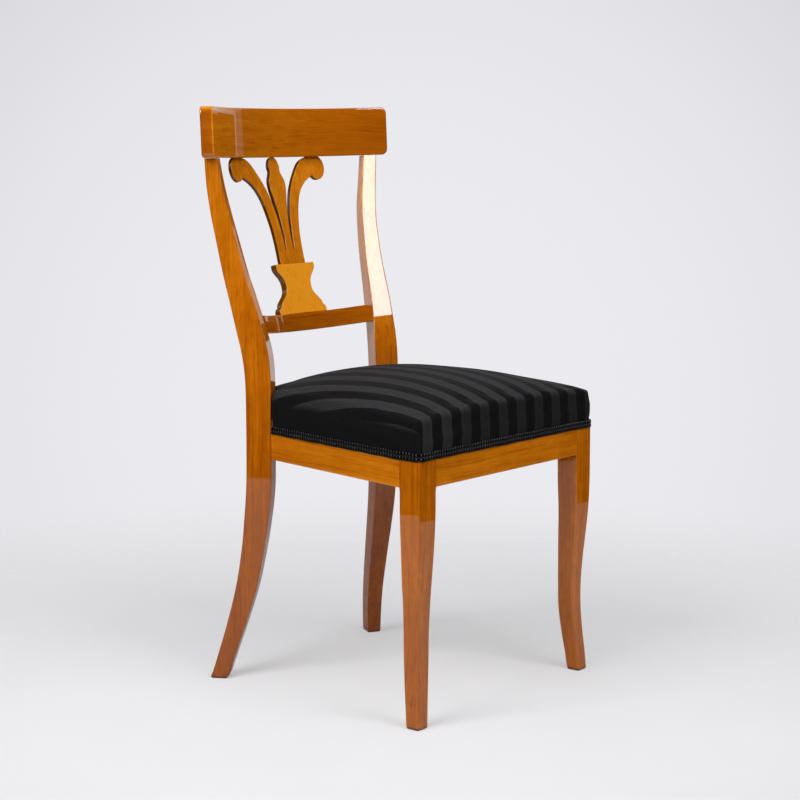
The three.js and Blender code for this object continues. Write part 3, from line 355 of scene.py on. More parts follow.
def striped_cloth():
    """Black cloth with satin and matt stripes.

    cloth_u runs across the stripes and cloth_v along them, and side_wall_shade is 1 where the
    cushion's side walls show satin only, a dark cloth that stands in for shade there. Matt
    stripes are darker on the walls toward +X, a painted shade, and satin is paler where it is
    seen at a low angle, a painted sheen in its colour.
    """
    s = Shader("striped_cloth")
    u, v = s.attribute("cloth_u"), s.attribute("cloth_v")
    drift = s.times(s.math("SUBTRACT", s.noise(s.place, 14.0, 1.0), 0.5), 0.0016)
    across = s.math("ADD", s.math("ADD", u, drift), STRIPE_PHASE)
    turn = s.wave(across, STRIPE_PITCH, "COSINE")
    # The side walls show dark satin only, which stands in for the shade there.
    satin = s.math("MAXIMUM", s.spread(turn, -0.05, 0.05, smooth=True), s.attribute("side_wall_shade"))
    weaving = s.times(s.wave(u, RIB_PITCH), s.wave(v, PICK_PITCH))
    twill = s.wave(s.math("ADD", u, v), TWILL_PITCH)
    slub = s.noise(s.place, (900, 120, 900), 3.0)
    matt = s.ramp(s.times_plus(twill, 0.14, slub), [
        (0.25, (0.0158, 0.0155, 0.0166)), (0.75, (0.0312, 0.0306, 0.0326)),
    ])
    pin = s.spread(s.math("ABSOLUTE", s.math("ADD", turn, 0.93)), 0.02, 0.06, 1, 0)
    matt = s.mix(s.times(pin, 0.4), matt, rgb(0.006, 0.006, 0.0065))
    # Painted shade: matt stripes on the cushion's walls are mixed toward black, the more toward +X.
    wall = s.times(s.spread(s.normal("Z"), 0.25, 0.6, 1, 0, True),
                   s.spread(s.split(s.place)["X"], -0.175, -0.085, 0, 0.42, True))
    matt = s.mix(wall, matt, rgb(0.0, 0.0, 0.0))
    sheen = s.ramp(slub, [(0.2, (0.0042, 0.0041, 0.0044)), (0.8, (0.0088, 0.0085, 0.0093))])
    # Painted sheen: the satin's colour is paled where the cloth is seen at a low angle.
    facing = s.add("ShaderNodeLayerWeight", {"Blend": 0.5}).outputs["Facing"]
    painted_sheen = s.spread(facing, 0.62, 0.80, smooth=True)
    sheen = s.mix(s.times(painted_sheen, 0.75), sheen, rgb(0.019, 0.0187, 0.02))
    threads = s.times_plus(weaving, 0.5, s.times(twill, 0.5))
    depth = s.times(threads, s.spread(satin, 0, 1, 1.0, 0.35))
    soft = s.bump(s.noise(s.place, 55.0), 0.25, 0.0012)
    return s.finish({
        "Base Color": s.mix(satin, matt, sheen), "Roughness": 0.75,
        "Specular IOR Level": s.spread(satin, 0, 1, 0.035, 0.012),
        "Sheen Weight": s.spread(satin, 0, 1, 0.016, 0.006), "Sheen Roughness": 0.5,
        "Sheen Tint": rgb(0.9, 0.9, 1.0), "Normal": s.bump(depth, 0.35, 0.0002, soft),
    })


def braid_cord(name, glint_tone, gloss):
    """Black cord, up to glint_tone pale where the painted highlight is full."""
    s = Shader(name)
    twist = s.noise(s.place, (1800, 1800, 2600), distortion=0.8)
    # Painted highlight: the loops' crowns are paled, more in some places than others.
    glint_variation = s.spread(s.noise(s.place, 160.0, 1.0), 0.35, 0.65, 0.35, 0.8)
    glint_share = s.times(s.attribute("painted_glint"), glint_variation)
    color = s.ramp(s.times_plus(twist, 0.3, glint_share), [
        (0.25, (0.0015, 0.0015, 0.0018)), (0.85, (glint_tone, glint_tone, glint_tone * 1.08)),
    ])
    return s.finish({
        "Base Color": color, "Roughness": 0.45, "Specular IOR Level": gloss,
        "Normal": s.bump(twist, 0.7, 0.0003),
    })


# ---- Meshes

def linked(name, data):
    piece = bpy.data.objects.new(name, data)
    SCENE.collection.objects.link(piece)
    return piece


def shade_smooth(mesh, sharp):
    mesh.polygons.foreach_set("use_smooth", [True] * len(mesh.polygons))
    mesh.set_sharp_from_angle(angle=math.radians(sharp))


def add_mesh(name, mesh, material, nodes=(), sharp=40):
    """A piece that rides on the frame and stands for the nodes."""
    piece = linked(name, mesh)
    mesh.materials.append(material)
    shade_smooth(mesh, sharp)
    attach(piece, "root")
    if nodes:
        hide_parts(*nodes)
    return piece


def in_frame(points):
    """Points in millimetres as points in the frame."""
    return points * MM + (0, FRONT_Y, 0)


def in_mm(points):
    return (np.array(points) - (0, FRONT_Y, 0)) / MM


def add_piece(name, points, faces, material, slot, nodes=()):
    mesh = bpy.data.meshes.new(name)
    mesh.from_pydata(in_frame(np.array(points, float)).tolist(), [],
                     [list(map(int, face)) for face in faces])
    mesh.validate()
    return add_mesh(name, mesh, material, nodes)


def add_wood(name, points, faces, material, node):
    add_piece(name, points, faces, material, "lacquered_cherry", [node])


def turned(faces):
    return [tuple(face[::-1]) for face in faces]


def add_pair(node, points, faces, woods):
    """A wooden piece on the +X side and its mirror image, for NODE_right and NODE_left."""
    add_wood(f"{node}_wood_right", points, faces, woods[0], f"{node}_right")
    add_wood(f"{node}_wood_left", np.array(points) * (-1, 1, 1), turned(faces), woods[1],
             f"{node}_left")


def set_values(mesh, name, values):
    mesh.attributes.new(name, "FLOAT", "POINT").data.foreach_set("value", values)


def to_mm(mesh):
    co = np.zeros(len(mesh.vertices) * 3)
    mesh.vertices.foreach_get("co", co)
    return in_mm(co.reshape(-1, 3))


def from_mm(mesh, points):
    mesh.vertices.foreach_set("co", in_frame(points).ravel())
    mesh.update()


def evaluated_mesh(piece):
    graph = bpy.context.evaluated_depsgraph_get()
    return bpy.data.meshes.new_from_object(piece.evaluated_get(graph))


def applied(piece, kind, **settings):
    """The piece's mesh as one modifier would make it."""
    modifier = piece.modifiers.new(kind, kind)
    for key, value in settings.items():
        setattr(modifier, key, value)
    mesh = evaluated_mesh(piece)
    piece.modifiers.clear()
    return mesh


def bisected(bm, place, normal, near, clear=False):
    """Cuts along a plane, clears what lies beyond it, and returns what lies on the cut."""
    return bmesh.ops.bisect_plane(
        bm, geom=bm.verts[:] + bm.edges[:] + bm.faces[:], plane_co=place, plane_no=normal,
        dist=near, clear_outer=clear)["geom_cut"]


def cut_off_below(bm, height):
    return bisected(bm, (0, 0, height * MM), (0, 0, -1), 1e-6, clear=True)


def spline(rows, steps, mirror_ends=True):
    """Smooth curve through the rows, as steps + 1 points."""
    p = np.array(rows, float)
    if mirror_ends:
        p = np.vstack([2 * p[0] - p[1], p, 2 * p[-1] - p[-2]])
    else:
        p = np.vstack([p[0], p, p[-1]])
    t = np.linspace(0, len(rows) - 1, steps + 1)
    k = np.minimum(t.astype(int), len(rows) - 2)
    u = (t - k)[:, None]
    a, b, c, d = p[k], p[k + 1], p[k + 2], p[k + 3]
    return 0.5 * (2 * b + (c - a) * u + (2 * a - 5 * b + 4 * c - d) * u**2
                  + (3 * b - a - 3 * c + d) * u**3)


def loft(rings, closed_ends=True):
    """Points and faces of a skin through rings of equally many points."""
    rings = np.array(rings, float)
    count = rings.shape[1]
    last = (len(rings) - 1) * count
    faces = []
    for start in range(0, last, count):
        for i in range(count):
            j = (i + 1) % count
            faces.append((start + i, start + j, start + count + j, start + count + i))
    if closed_ends:
        faces.append(tuple(range(count))[::-1])
        faces.append(tuple(range(last, last + count)))
    return rings.reshape(-1, 3), faces


def oblong(x0, x1, y0, y1, radius, arc=4, support=0.6):
    """Oblong with rounded corners. Each corner has a point just before and after its arc."""
    ring = []
    corners = ((x1 - radius, y1 - radius, 0), (x0 + radius, y1 - radius, 90),
               (x0 + radius, y0 + radius, 180), (x1 - radius, y0 + radius, 270))
    for cx, cy, start in corners:
        for k in range(-1, arc + 2):
            angle = math.radians(start + 90 * min(max(k, 0), arc) / arc)
            slide = -support if k < 0 else support if k > arc else 0
            ring.append((cx + radius * math.cos(angle) - slide * math.sin(angle),
                         cy + radius * math.sin(angle) + slide * math.cos(angle)))
    return np.array(ring)


def distances_along(line):
    """How far along a line each of its points lies."""
    return np.concatenate([[0], np.cumsum(np.linalg.norm(np.diff(line, axis=0), axis=1))])


def values_at(distances, known, rows):
    """Rows between those that are known at some distances along a line."""
    return np.stack([np.interp(distances, known, column) for column in rows.T], 1)


def resampled(line, step):
    line = np.array(line, float)
    known = distances_along(line)
    count = max(2, int(round(known[-1] / step)) + 1)
    return values_at(np.linspace(0, known[-1], count), known, line)


def directions(line):
    along = np.gradient(line, axis=0)
    return along / np.linalg.norm(along, axis=1)[:, None]


def smoothstep(low, high, value):
    t = np.clip((value - low) / (high - low), 0, 1)
    return t * t * (3 - 2 * t)


# ---- Legs

# How far a foot is drawn in at some heights
FOOT_ROUNDING = ((0.0, 1.9), (0.5, 1.1), (1.5, 0.4), (3.0, 0.0), (3.6, 0.0))
REBATE_ROUNDING = 3.5
CREASE = 0.6
SHARP_ARRIS, SHARP_SUPPORT = 0.25, 0.2
SHARP_BELOW_RAIL = 4


def sharpened(ring, other, count):
    """A ring with its second and fourth corners taken from another, sharper one."""
    ring = ring.copy()
    for corner in (1, 3):
        ring[corner * count:(corner + 1) * count] = other[corner * count:(corner + 1) * count]
    return ring


def leg_rings(stations, turn, rebate):
    """Rings of a leg. A station is (x, y, z, width, depth) of its outer front corner."""
    inward = np.array([-math.cos(turn), math.sin(turn), 0])
    back = np.array([math.sin(turn), math.cos(turn), 0])
    foot = stations[0]
    rows = [(*foot[:2], z, *foot[3:], inset, 0) for z, inset in FOOT_ROUNDING]
    rows += [(*row, 0, 0) for row in stations if row[2] > FOOT_ROUNDING[-1][0] + 2]
    if rebate:
        top = rows[-1]
        rows = [row for row in rows if row[2] < FABRIC_LINE - 1]
        for z, cut in ((FABRIC_LINE - CREASE, 0), (FABRIC_LINE, 0), (FABRIC_LINE, FABRIC_REBATE),
                       (FRAME_TOP - CREASE, FABRIC_REBATE), (FRAME_TOP, FABRIC_REBATE)):
            rows.append((*top[:2], z, *top[3:5], 0, cut))
    rings = []
    for x, y, z, width, depth, inset, cut in rows:
        sides = inset + cut, width - inset, inset + cut, depth - inset
        ring = oblong(*sides, ARRIS + (REBATE_ROUNDING if cut else 0))
        if rebate and z > RAIL_UNDERSIDE - SHARP_BELOW_RAIL:
            sharp = oblong(*sides, SHARP_ARRIS, support=SHARP_SUPPORT)
            ring = sharpened(ring, sharp, len(ring) // 4)
        corner = np.array([x, y, z])
        rings.append([corner + a * inward + b * back for a, b in ring])
    return np.array(rings)


def rows_over(shares, base, run):
    return [(base + row[0] * run, *row[1:]) for row in shares]


def leg_stations(rows, steps, place):
    curve = spline([(side, back, z, width, depth) for z, side, back, width, depth in rows], steps)
    return np.array([place(*row) for row in curve[::-1]])


def front_station(side, back, z, width, depth):
    return (FRONT_WIDTH / 2 - side * LEG_SWEEP_X, back * LEG_SWEEP_Y, z,
            width * LEG_WIDTH, depth * LEG_DEPTH)


def rear_station(side, back, z, width, depth):
    half = width * STILE_WIDTH / 2
    return (STILE_SPREAD + side * STILE_SPLAY + half * math.cos(STILE_TURN),
            LEG_SPACING + back * STILE_RAKE - half * math.sin(STILE_TURN), z,
            width * STILE_WIDTH, depth * STILE_DEPTH)


FRONT_STATIONS = leg_stations(rows_over(FRONT_LEG, 0, RAIL_UNDERSIDE), 70, front_station)
REAR_STATIONS = leg_stations(
    rows_over(STILE, FRAME_TOP, STILE_RUN) + rows_over(REAR_LEG, 0, RAIL_UNDERSIDE),
    150, rear_station)


def station_at(z):
    return np.array([np.interp(z, REAR_STATIONS[:, 2], column) for column in REAR_STATIONS.T])


INWARD = np.array([-math.cos(STILE_TURN), math.sin(STILE_TURN)])
BACKWARD = np.array([math.sin(STILE_TURN), math.cos(STILE_TURN)])
STILE_TOP = station_at(CREST_UNDERSIDE)
STILE_TOP_FRONT = STILE_TOP[:2] + STILE_TOP[3] / 2 * INWARD
AT_SEAT = station_at((RAIL_UNDERSIDE + FRAME_TOP) / 2)
STILE_FRONT = AT_SEAT[:2]
STILE_INNER = STILE_FRONT + AT_SEAT[3] * INWARD


def build_legs():
    top = FRONT_STATIONS[-1].copy()
    top[2] = FRAME_TOP
    rings = leg_rings([*FRONT_STATIONS, top], 0, True)
    add_pair("front_leg", *loft(rings[:, ::-1]), (
        cherry("front_leg_right", UPRIGHT, (0.3, 0.11, 0.19), 0.67, floor_shade=0.22),
        cherry("front_leg_left", UPRIGHT, (0.7, 0.13, 0.33), 0.58, floor_shade=0.07)))
    rings = leg_rings(REAR_STATIONS, STILE_TURN, False)
    crest_sole = CREST_UNDERSIDE - (rings[-1, :, 1] - STILE_TOP_FRONT[1]) * math.tan(CREST_TILT)
    rings[-1, :, 2] = crest_sole - JOINT_GAP
    add_pair("rear_leg", *loft(rings[:, ::-1]), (
        cherry("rear_leg_right", UPRIGHT, (0.1, 0.06, 0.23), 0.57, floor_shade=0.34),
        cherry("rear_leg_left", UPRIGHT, (0.4, 0.16, 0.35), 0.53, floor_shade=0.20)))


# ---- Seat frame

ACROSS, DEEP = np.array([1.0, 0.0]), np.array([0.0, 1.0])
SIDE_START = np.array([FRONT_WIDTH / 2, LEG_DEPTH])
SIDE_ALONG = (STILE_FRONT - SIDE_START) / np.linalg.norm(STILE_FRONT - SIDE_START)
SIDE_INWARD = np.array([-SIDE_ALONG[1], SIDE_ALONG[0]])
REAR_BACK = LEG_SPACING + REAR_RAIL_SETBACK + REAR_RAIL_THICKNESS


def rail_section(thickness):
    """Section of a rail: depth from its outer face, and height. Its top is cut back."""
    ring = list(oblong(0, thickness, RAIL_UNDERSIDE, FRAME_TOP, ARRIS))
    low = [point for point in ring if point[1] < FRAME_TOP - 8 or point[0] > thickness / 2]
    start = next(i for i, point in enumerate(low) if point[0] < 1e-6)
    step = [(FABRIC_REBATE + 1, FRAME_TOP), (FABRIC_REBATE, FRAME_TOP - 1),
            (FABRIC_REBATE, FABRIC_LINE), (0.0, FABRIC_LINE), (0.0, FABRIC_LINE - CREASE)]
    return np.array(low[:start] + step + low[start:])


def crossing(point, along, plane_point, plane_normal, reach):
    """Distance from point, along a line, to a plane that lies reach beyond plane_point."""
    return ((plane_point - point) @ plane_normal + reach) / (along @ plane_normal)


def build_rails():
    section = rail_section(RAIL_THICKNESS)
    ends = ([], [])
    for depth, z in section:
        base = SIDE_START + depth * SIDE_INWARD
        near = crossing(base, SIDE_ALONG, SIDE_START, DEEP, GLUE_LINE)
        far = crossing(base, SIDE_ALONG, STILE_FRONT, BACKWARD, -JOINT_GAP)
        for end, reach in zip(ends, (near, far)):
            end.append((*(base + reach * SIDE_ALONG), z))
    points, faces = loft(ends)
    turn = math.atan2(SIDE_ALONG[1], SIDE_ALONG[0])
    add_pair("side_rail", points, turned(faces), (
        cherry("side_rail_right", (0, 0, -turn), (0.2, 0.17, -0.31), 0.66),
        cherry("side_rail_left", (0, 0, turn - math.pi), (0.5, 0.21, -0.33), 0.73)))

    reach = FRONT_WIDTH / 2 - LEG_WIDTH - GLUE_LINE
    points, faces = loft([[(x, depth, z) for depth, z in section] for x in (-reach, reach)])
    add_wood("front_rail_board", points, turned(faces),
             cherry("front_rail", LYING, (0.1, 0.36, -0.30), 0.70), "front_rail")

    ends = ([], [])
    for depth, z in rail_section(REAR_RAIL_THICKNESS):
        base = np.array([0.0, REAR_BACK - depth])
        reach = crossing(base, ACROSS, STILE_INNER, -INWARD, -JOINT_GAP)
        for end, x in zip(ends, (-reach, reach)):
            end.append((x, base[1], z))
    add_wood("rear_rail_board", *loft(ends),
             cherry("rear_rail", LYING, (0.3, -0.05, -0.28), 0.55), "rear_seat_rail")


# ---- Back

def tilted(points, tilt, origin):
    """Points of a leaning piece: turned back about X by tilt, then moved to the origin."""
    p = np.array(points, float)
    y = p[..., 1] * math.cos(tilt) + p[..., 2] * math.sin(tilt)
    z = -p[..., 1] * math.sin(tilt) + p[..., 2] * math.cos(tilt)
    return np.stack([p[..., 0] + origin[0], y + origin[1], z + origin[2]], axis=-1)


CREST_CENTRE_Y = -math.sqrt(CREST_RADIUS**2 - STILE_TOP_FRONT[0] ** 2) - CREST_PROUD
CREST_ORIGIN = (0, STILE_TOP_FRONT[1], CREST_UNDERSIDE)
CREST_EDGE = 2.2


def build_crest():
    """Arc of rounded sections. Both the corners and the end edges are rounded over."""
    half = math.asin((STILE_TOP[0] + CREST_OVERHANG) / CREST_RADIUS) * CREST_RADIUS
    gaps = np.concatenate([
        CREST_EDGE * (1 - np.cos(np.linspace(0, math.pi / 2, 7)))[:-1],
        np.linspace(CREST_EDGE, CREST_CORNER, 10)[:-1],
        np.linspace(CREST_CORNER, half, 46),
    ])
    rings = []
    for gap in gaps:
        corner = max(0.0, CREST_CORNER - gap)
        drop = CREST_CORNER - math.sqrt(CREST_CORNER**2 - corner**2)
        edge = max(0.0, CREST_EDGE - gap)
        thin = CREST_EDGE - math.sqrt(max(0.0, CREST_EDGE**2 - edge**2))
        section = oblong(thin, CREST_THICKNESS - thin, drop + thin,
                         CREST_HEIGHT - drop - thin, CREST_EDGE - 0.7 * thin, 6)
        rings.append((half - gap, section))
    placed = []
    for s, section in [(-s, section) for s, section in rings] + rings[-2::-1]:
        angle = s / CREST_RADIUS
        placed.append([((CREST_RADIUS + out) * math.sin(angle),
                        CREST_CENTRE_Y + (CREST_RADIUS + out) * math.cos(angle), up)
                       for out, up in section])
    wood = cherry("crest", LYING, (0.13, -0.36, -0.70), 0.63, depth=0.05, arc=0.05,
                  figure=0.75, shade_slope_x=-0.85, ends=True)
    add_wood("crest_board", *loft(tilted(placed, CREST_TILT, CREST_ORIGIN)), wood, "crest_rail")


AT_CROSS = station_at(CROSS_TOP - CROSS_HEIGHT / 2)
CROSS_END = AT_CROSS[:2] + AT_CROSS[3] * INWARD
CROSS_CENTRE_Y = -math.sqrt(CROSS_RADIUS**2 - CROSS_END[0] ** 2)
CROSS_ORIGIN = np.array([0, CROSS_END[1] + CROSS_SETBACK, CROSS_TOP])
CROSS_STEPS = 44


def cross_point(angle, out, up):
    local = ((CROSS_RADIUS + out) * math.sin(angle),
             CROSS_CENTRE_Y + (CROSS_RADIUS + out) * math.cos(angle), up - CROSS_HEIGHT)
    return tilted(local, CROSS_TILT, CROSS_ORIGIN)


def build_cross_rail():
    """Each line of the rail runs between the inner faces of the stiles."""
    section = oblong(0, CROSS_THICKNESS, 0, CROSS_HEIGHT, ARRIS)
    rings = np.zeros((CROSS_STEPS + 1, len(section), 3))
    for i, (out, up) in enumerate(section):
        low, high = 0.2, 0.8
        for _ in range(40):
            middle = (low + high) / 2
            x, y, z = cross_point(middle, out, up)
            at = station_at(z)
            face = at[:2] + at[3] * INWARD
            if (np.array([x, y]) - face) @ -INWARD > -JOINT_GAP:
                high = middle
            else:
                low = middle
        for k in range(CROSS_STEPS + 1):
            rings[k, i] = cross_point(low * (2 * k / CROSS_STEPS - 1), out, up)
    wood = cherry("cross_rail", LYING, (0.21, -0.24, -0.45), 0.50, depth=0.05, arc=0.04)
    add_wood("cross_rail_board", *loft(rings), wood, "back_cross_rail")


CROSS_MIDDLE = tilted((0, CROSS_CENTRE_Y + CROSS_RADIUS + CROSS_THICKNESS / 2, 0),
                      CROSS_TILT, CROSS_ORIGIN)
CREST_MIDDLE = tilted((0, CREST_CENTRE_Y + CREST_RADIUS + CREST_THICKNESS / 2, 0),
                      CREST_TILT, CREST_ORIGIN)
SPLAT_LEAN = math.atan2(CREST_MIDDLE[1] - CROSS_MIDDLE[1], CREST_MIDDLE[2] - CROSS_MIDDLE[2])
SPLAT_HEIGHT = float(np.linalg.norm(CREST_MIDDLE - CROSS_MIDDLE))
VASE_HEIGHT = SPLAT_HEIGHT * VASE_SHARE
PLUME_HEIGHT = SPLAT_HEIGHT - VASE_HEIGHT
STRIP_WIDTH, STRIP_HEIGHT = 6.0, 12.0
CAP_INSET, EDGE_SUPPORT = 0.5, 0.4
SHARPEST_MITRE = 0.55
CLOSEST_POINTS = 0.3


def grown(outline, distance):
    """Closed outline moved outward by a distance, or inward where it is negative."""
    p = np.array(outline, float)
    joint = 0
    for d in (p - np.roll(p, 1, 0), np.roll(p, -1, 0) - p):
        d = d / np.linalg.norm(d, axis=1)[:, None]
        joint = joint + np.stack([d[:, 1], -d[:, 0]], 1)
    length = np.linalg.norm(joint, axis=1)[:, None]
    return p + joint / length * distance / np.maximum(length / 2, SHARPEST_MITRE)


def twice_area(outline):
    p = np.array(outline, float)
    return np.sum(p[:, 0] * np.roll(p[:, 1], -1) - np.roll(p[:, 0], -1) * p[:, 1])


def board(name, outline, thickness, setback, material, node, edge):
    """Sawn board with eased edges, bent to follow the crest rail. outline is (x, z)."""
    p = np.array(outline, float)
    if twice_area(p) < 0:
        p = p[::-1]
    half = thickness / 2
    layers = [(-half, edge + CAP_INSET)]
    for k in range(5):
        angle = math.radians(22.5 * k)
        layers.append((-half + edge * (1 - math.cos(angle)), edge * (1 - math.sin(angle))))
    layers.append((-half + edge + EDGE_SUPPORT, 0.0))
    layers += [(-y, inset) for y, inset in layers[::-1]]
    rings = [[(x, y, z) for x, z in grown(p, -inset)] for y, inset in layers]
    points, faces = loft(rings, closed_ends=False)
    caps = geometry.tessellate_polygon([[Vector((x, z, 0)) for x, _, z in rings[0]]])
    last = len(points) - len(p)
    faces += [tuple(c) for c in caps] + [tuple(last + i for i in c) for c in caps]
    bm = bmesh.new()
    verts = [bm.verts.new(point) for point in points]
    for face in faces:
        bm.faces.new([verts[i] for i in face])
    bmesh.ops.recalc_face_normals(bm, faces=bm.faces)
    low, high = points.min(0), points.max(0)
    cuts = [((x, 0, 0), (1, 0, 0)) for x in np.arange(low[0] + 4, high[0], STRIP_WIDTH)]
    cuts += [((0, 0, z), (0, 0, 1)) for z in np.arange(low[2] + 6, high[2], STRIP_HEIGHT)]
    for place, normal in cuts:
        bisected(bm, place, normal, 1e-3)
    # 1 on the sawn sides, which the cherry darkens as painted shade
    sawn = bm.verts.layers.float.new("sawn")
    for vert in bm.verts:
        x, y, z = vert.co
        vert[sawn] = min(1.0, max(0.0, (half - abs(y)) / edge))
        rise = min(max(z / SPLAT_HEIGHT, 0), 1)
        bent = (x, y + setback - rise * x * x / (2 * SPLAT_BEND), z)
        vert.co = in_frame(tilted(bent, SPLAT_LEAN, CROSS_MIDDLE))
    mesh = bpy.data.meshes.new(name)
    bm.to_mesh(mesh)
    bm.free()
    add_mesh(name, mesh, material, [node])


def mirrored_outline(half):
    both = np.vstack([half, half[::-1] * (-1, 1)])
    gaps = np.linalg.norm(both - np.roll(both, 1, 0), axis=1)
    keep = [i for i in range(len(both)) if gaps[i] > CLOSEST_POINTS]
    return both[keep]


# Right halves of the splat's outlines, as shares of its half width and its height
VASE_FOOT = [(1, 0.004), (0.99, 0.085)]
VASE_STEP = [(0.99, 0.085), (0.95, 0.125), (0.885, 0.15)]
VASE_BEAD = [(0.875, 0.17), (0.86, 0.21), (0.815, 0.247)]
VASE_WAIST = [
    (0.815, 0.247), (0.72, 0.312), (0.615, 0.38), (0.548, 0.46), (0.53, 0.555),
    (0.553, 0.65), (0.62, 0.74), (0.72, 0.815), (0.79, 0.88),
]
VASE_LIP = [(0.812, 0.935), (0.8, 1)]
PLUME_OUTER = [
    (0.266, 0), (0.266, 0.16), (0.281, 0.3), (0.313, 0.42),
    (0.37, 0.555), (0.455, 0.67), (0.575, 0.752), (0.705, 0.8),
]
CURL_CENTRE, CURL_RADIUS = (0.856, 0.886), (0.144, 0.114)
PLUME_INNER = [
    (0.72, 1), (0.6, 0.975), (0.505, 0.93), (0.401, 0.844), (0.313, 0.758),
    (0.23, 0.65), (0.152, 0.477), (0.112, 0.299), (0.095, 0.127),
]
PLUME_TIP = [
    (0.082, 0.127), (0.074, 0.27), (0.094, 0.459), (0.131, 0.584), (0.168, 0.702),
    (0.164, 0.785), (0.122, 0.841), (0.107, 0.874), (0.114, 0.915), (0.086, 0.969), (0.036, 1),
]


def build_splat():
    def vase_at(shares):
        return [(x * VASE_HALF_WIDTH, z * VASE_HEIGHT) for x, z in shares]

    def plume_at(shares):
        foot, rise = VASE_HEIGHT + JOINT_GAP, PLUME_HEIGHT - 2 * JOINT_GAP
        return [(x * PLUME_HALF_WIDTH, foot + z * rise) for x, z in shares]

    half = np.vstack([
        vase_at(VASE_FOOT), spline(vase_at(VASE_STEP), 5, False),
        spline(vase_at(VASE_BEAD), 5, False), spline(vase_at(VASE_WAIST), 34, False),
        vase_at(VASE_LIP),
    ])
    wood = cherry("vase", UPRIGHT, (0.1, -0.13, 0.16), 1.02, figure=0.5, edges=True)
    board("splat_vase_board", mirrored_outline(half), VASE_THICKNESS, 0, wood, "splat_vase", 0.7)

    curl = [(CURL_CENTRE[0] + CURL_RADIUS[0] * math.cos(a),
             CURL_CENTRE[1] + CURL_RADIUS[1] * math.sin(a))
            for a in np.radians(np.linspace(-143, 90, 34))]
    half = np.vstack([
        spline(plume_at(PLUME_OUTER), 30, False), plume_at(curl),
        spline(plume_at(PLUME_INNER), 36, False), spline(plume_at(PLUME_TIP), 40, False),
    ])
    wood = cherry("plumes", UPRIGHT, (0.15, -0.16, 0.19), 0.77, figure=0.8, edges=True)
    board("splat_plumes_board", mirrored_outline(half), PLUME_THICKNESS, PLUME_SETBACK,
          wood, "splat_plumes", 0.8)


# ---- Blocks and screws

def build_blocks():
    wood, metal = beech(), steel()
    for name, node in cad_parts.items():
        if name.startswith(("corner_block", "block_screw")):
            node.data.materials.clear()
            node.data.materials.append(wood if name.startswith("corner") else metal)


# ---- Seat

HEM = FABRIC_LINE + JOINT_GAP
SEAT_MIDDLE_Y = REAR_BACK / 2
PLAN_INSET, NOTCH_PLAY = 0.3, 1.6
COVER_FOOT = HEM - 12
COVER_STEP, RING_COUNT = 4.0, 360
COVER_LOW = 0.4
EDGE_LIFT = 1.9
SHOULDER = 5.5
WALL_DRAW, WALL_BULGE = 0.3, 0.9
WALL_FOOT, WALL_RUN, WALL_STEP = HEM + 6, 48, 5.0
COVER_VOXEL = 4.5
COVER_THICKNESS = 1.6
CLOTH_PINNED, PIN_FADE = HEM + 11, 16
CLOTH_CAP = 1.8
CLOTH_FRAMES = 20
EDGE_SOFTNESS = 0.12
HAIR_DEPTH = 3.4
HAIR_FOOT = FRAME_TOP + 5.8
FOLD_REACH, FOLD_PLAY = 4.5, 3


def line_meet(p, d, q, e):
    """Where the line from p along d meets the line from q along e."""
    share = ((q[0] - p[0]) * e[1] - (q[1] - p[1]) * e[0]) / (d[0] * e[1] - d[1] * e[0])
    return p + share * d


def seat_corners(inset, clearance):
    """Corners of the seat's plan on the +X side, inset from the faces of the frame."""
    leg = np.array([FRONT_WIDTH / 2 - inset, 0.0])
    side = SIDE_START + inset * SIDE_INWARD
    stile = STILE_FRONT - clearance * BACKWARD
    inner = STILE_INNER + clearance * INWARD
    return {
        "front": np.array([leg[0], inset]),
        "knee": line_meet(leg, DEEP, side, SIDE_ALONG),
        "side": line_meet(side, SIDE_ALONG, stile, INWARD),
        "notch": line_meet(stile, INWARD, inner, BACKWARD),
        "rear": line_meet(inner, BACKWARD, np.array([0.0, REAR_BACK - inset]), ACROSS),
    }


def corner_arc(front, steps):
    a, b = front - (SEAT_CORNER_RADIUS, 0), front + (0, SEAT_CORNER_RADIUS)
    return [(1 - t) ** 2 * a + 2 * t * (1 - t) * front + t * t * b
            for t in np.linspace(0, 1, steps)]


def seat_outline(inset, clearance, step):
    """Closed plan of the seat, from the middle of the front round, as points a step apart."""
    c = seat_corners(inset, clearance)
    half = [np.array([0.0, c["front"][1]]), *corner_arc(c["front"], 7), c["knee"],
            c["side"], c["notch"], c["rear"], np.array([0.0, c["rear"][1]])]
    other = [p * (-1, 1) for p in half[-2:0:-1]]
    return resampled(half + other + half[:1], step)[:-1]


def seat_width(y):
    """Half the width of the seat's frame at y."""
    slope = SIDE_ALONG[0] / SIDE_ALONG[1]
    return np.minimum(FRONT_WIDTH / 2, SIDE_START[0] + (y - SIDE_START[1]) * slope)


def crown_at(x, y):
    """Height of the stuffed top over the plan."""
    a = np.minimum(1, np.abs(x / seat_width(y))) ** CROWN_POWER
    b = np.minimum(1, np.abs((y - SEAT_MIDDLE_Y) / SEAT_MIDDLE_Y)) ** CROWN_POWER
    both = (1 - a) * (1 - b) * (1 - 2 * EDGE_CROWN)
    return SEAT_CORNER_TOP + SEAT_CROWN * (both + EDGE_CROWN * (2 - a - b))


def wall_draw(z):
    """How far the cushion's wall is drawn in. It is negative, as the wall bulges."""
    rise = min(1.0, max(0.0, (z - WALL_FOOT) / WALL_RUN))
    return -WALL_DRAW - WALL_BULGE * math.sin(math.pi * rise)


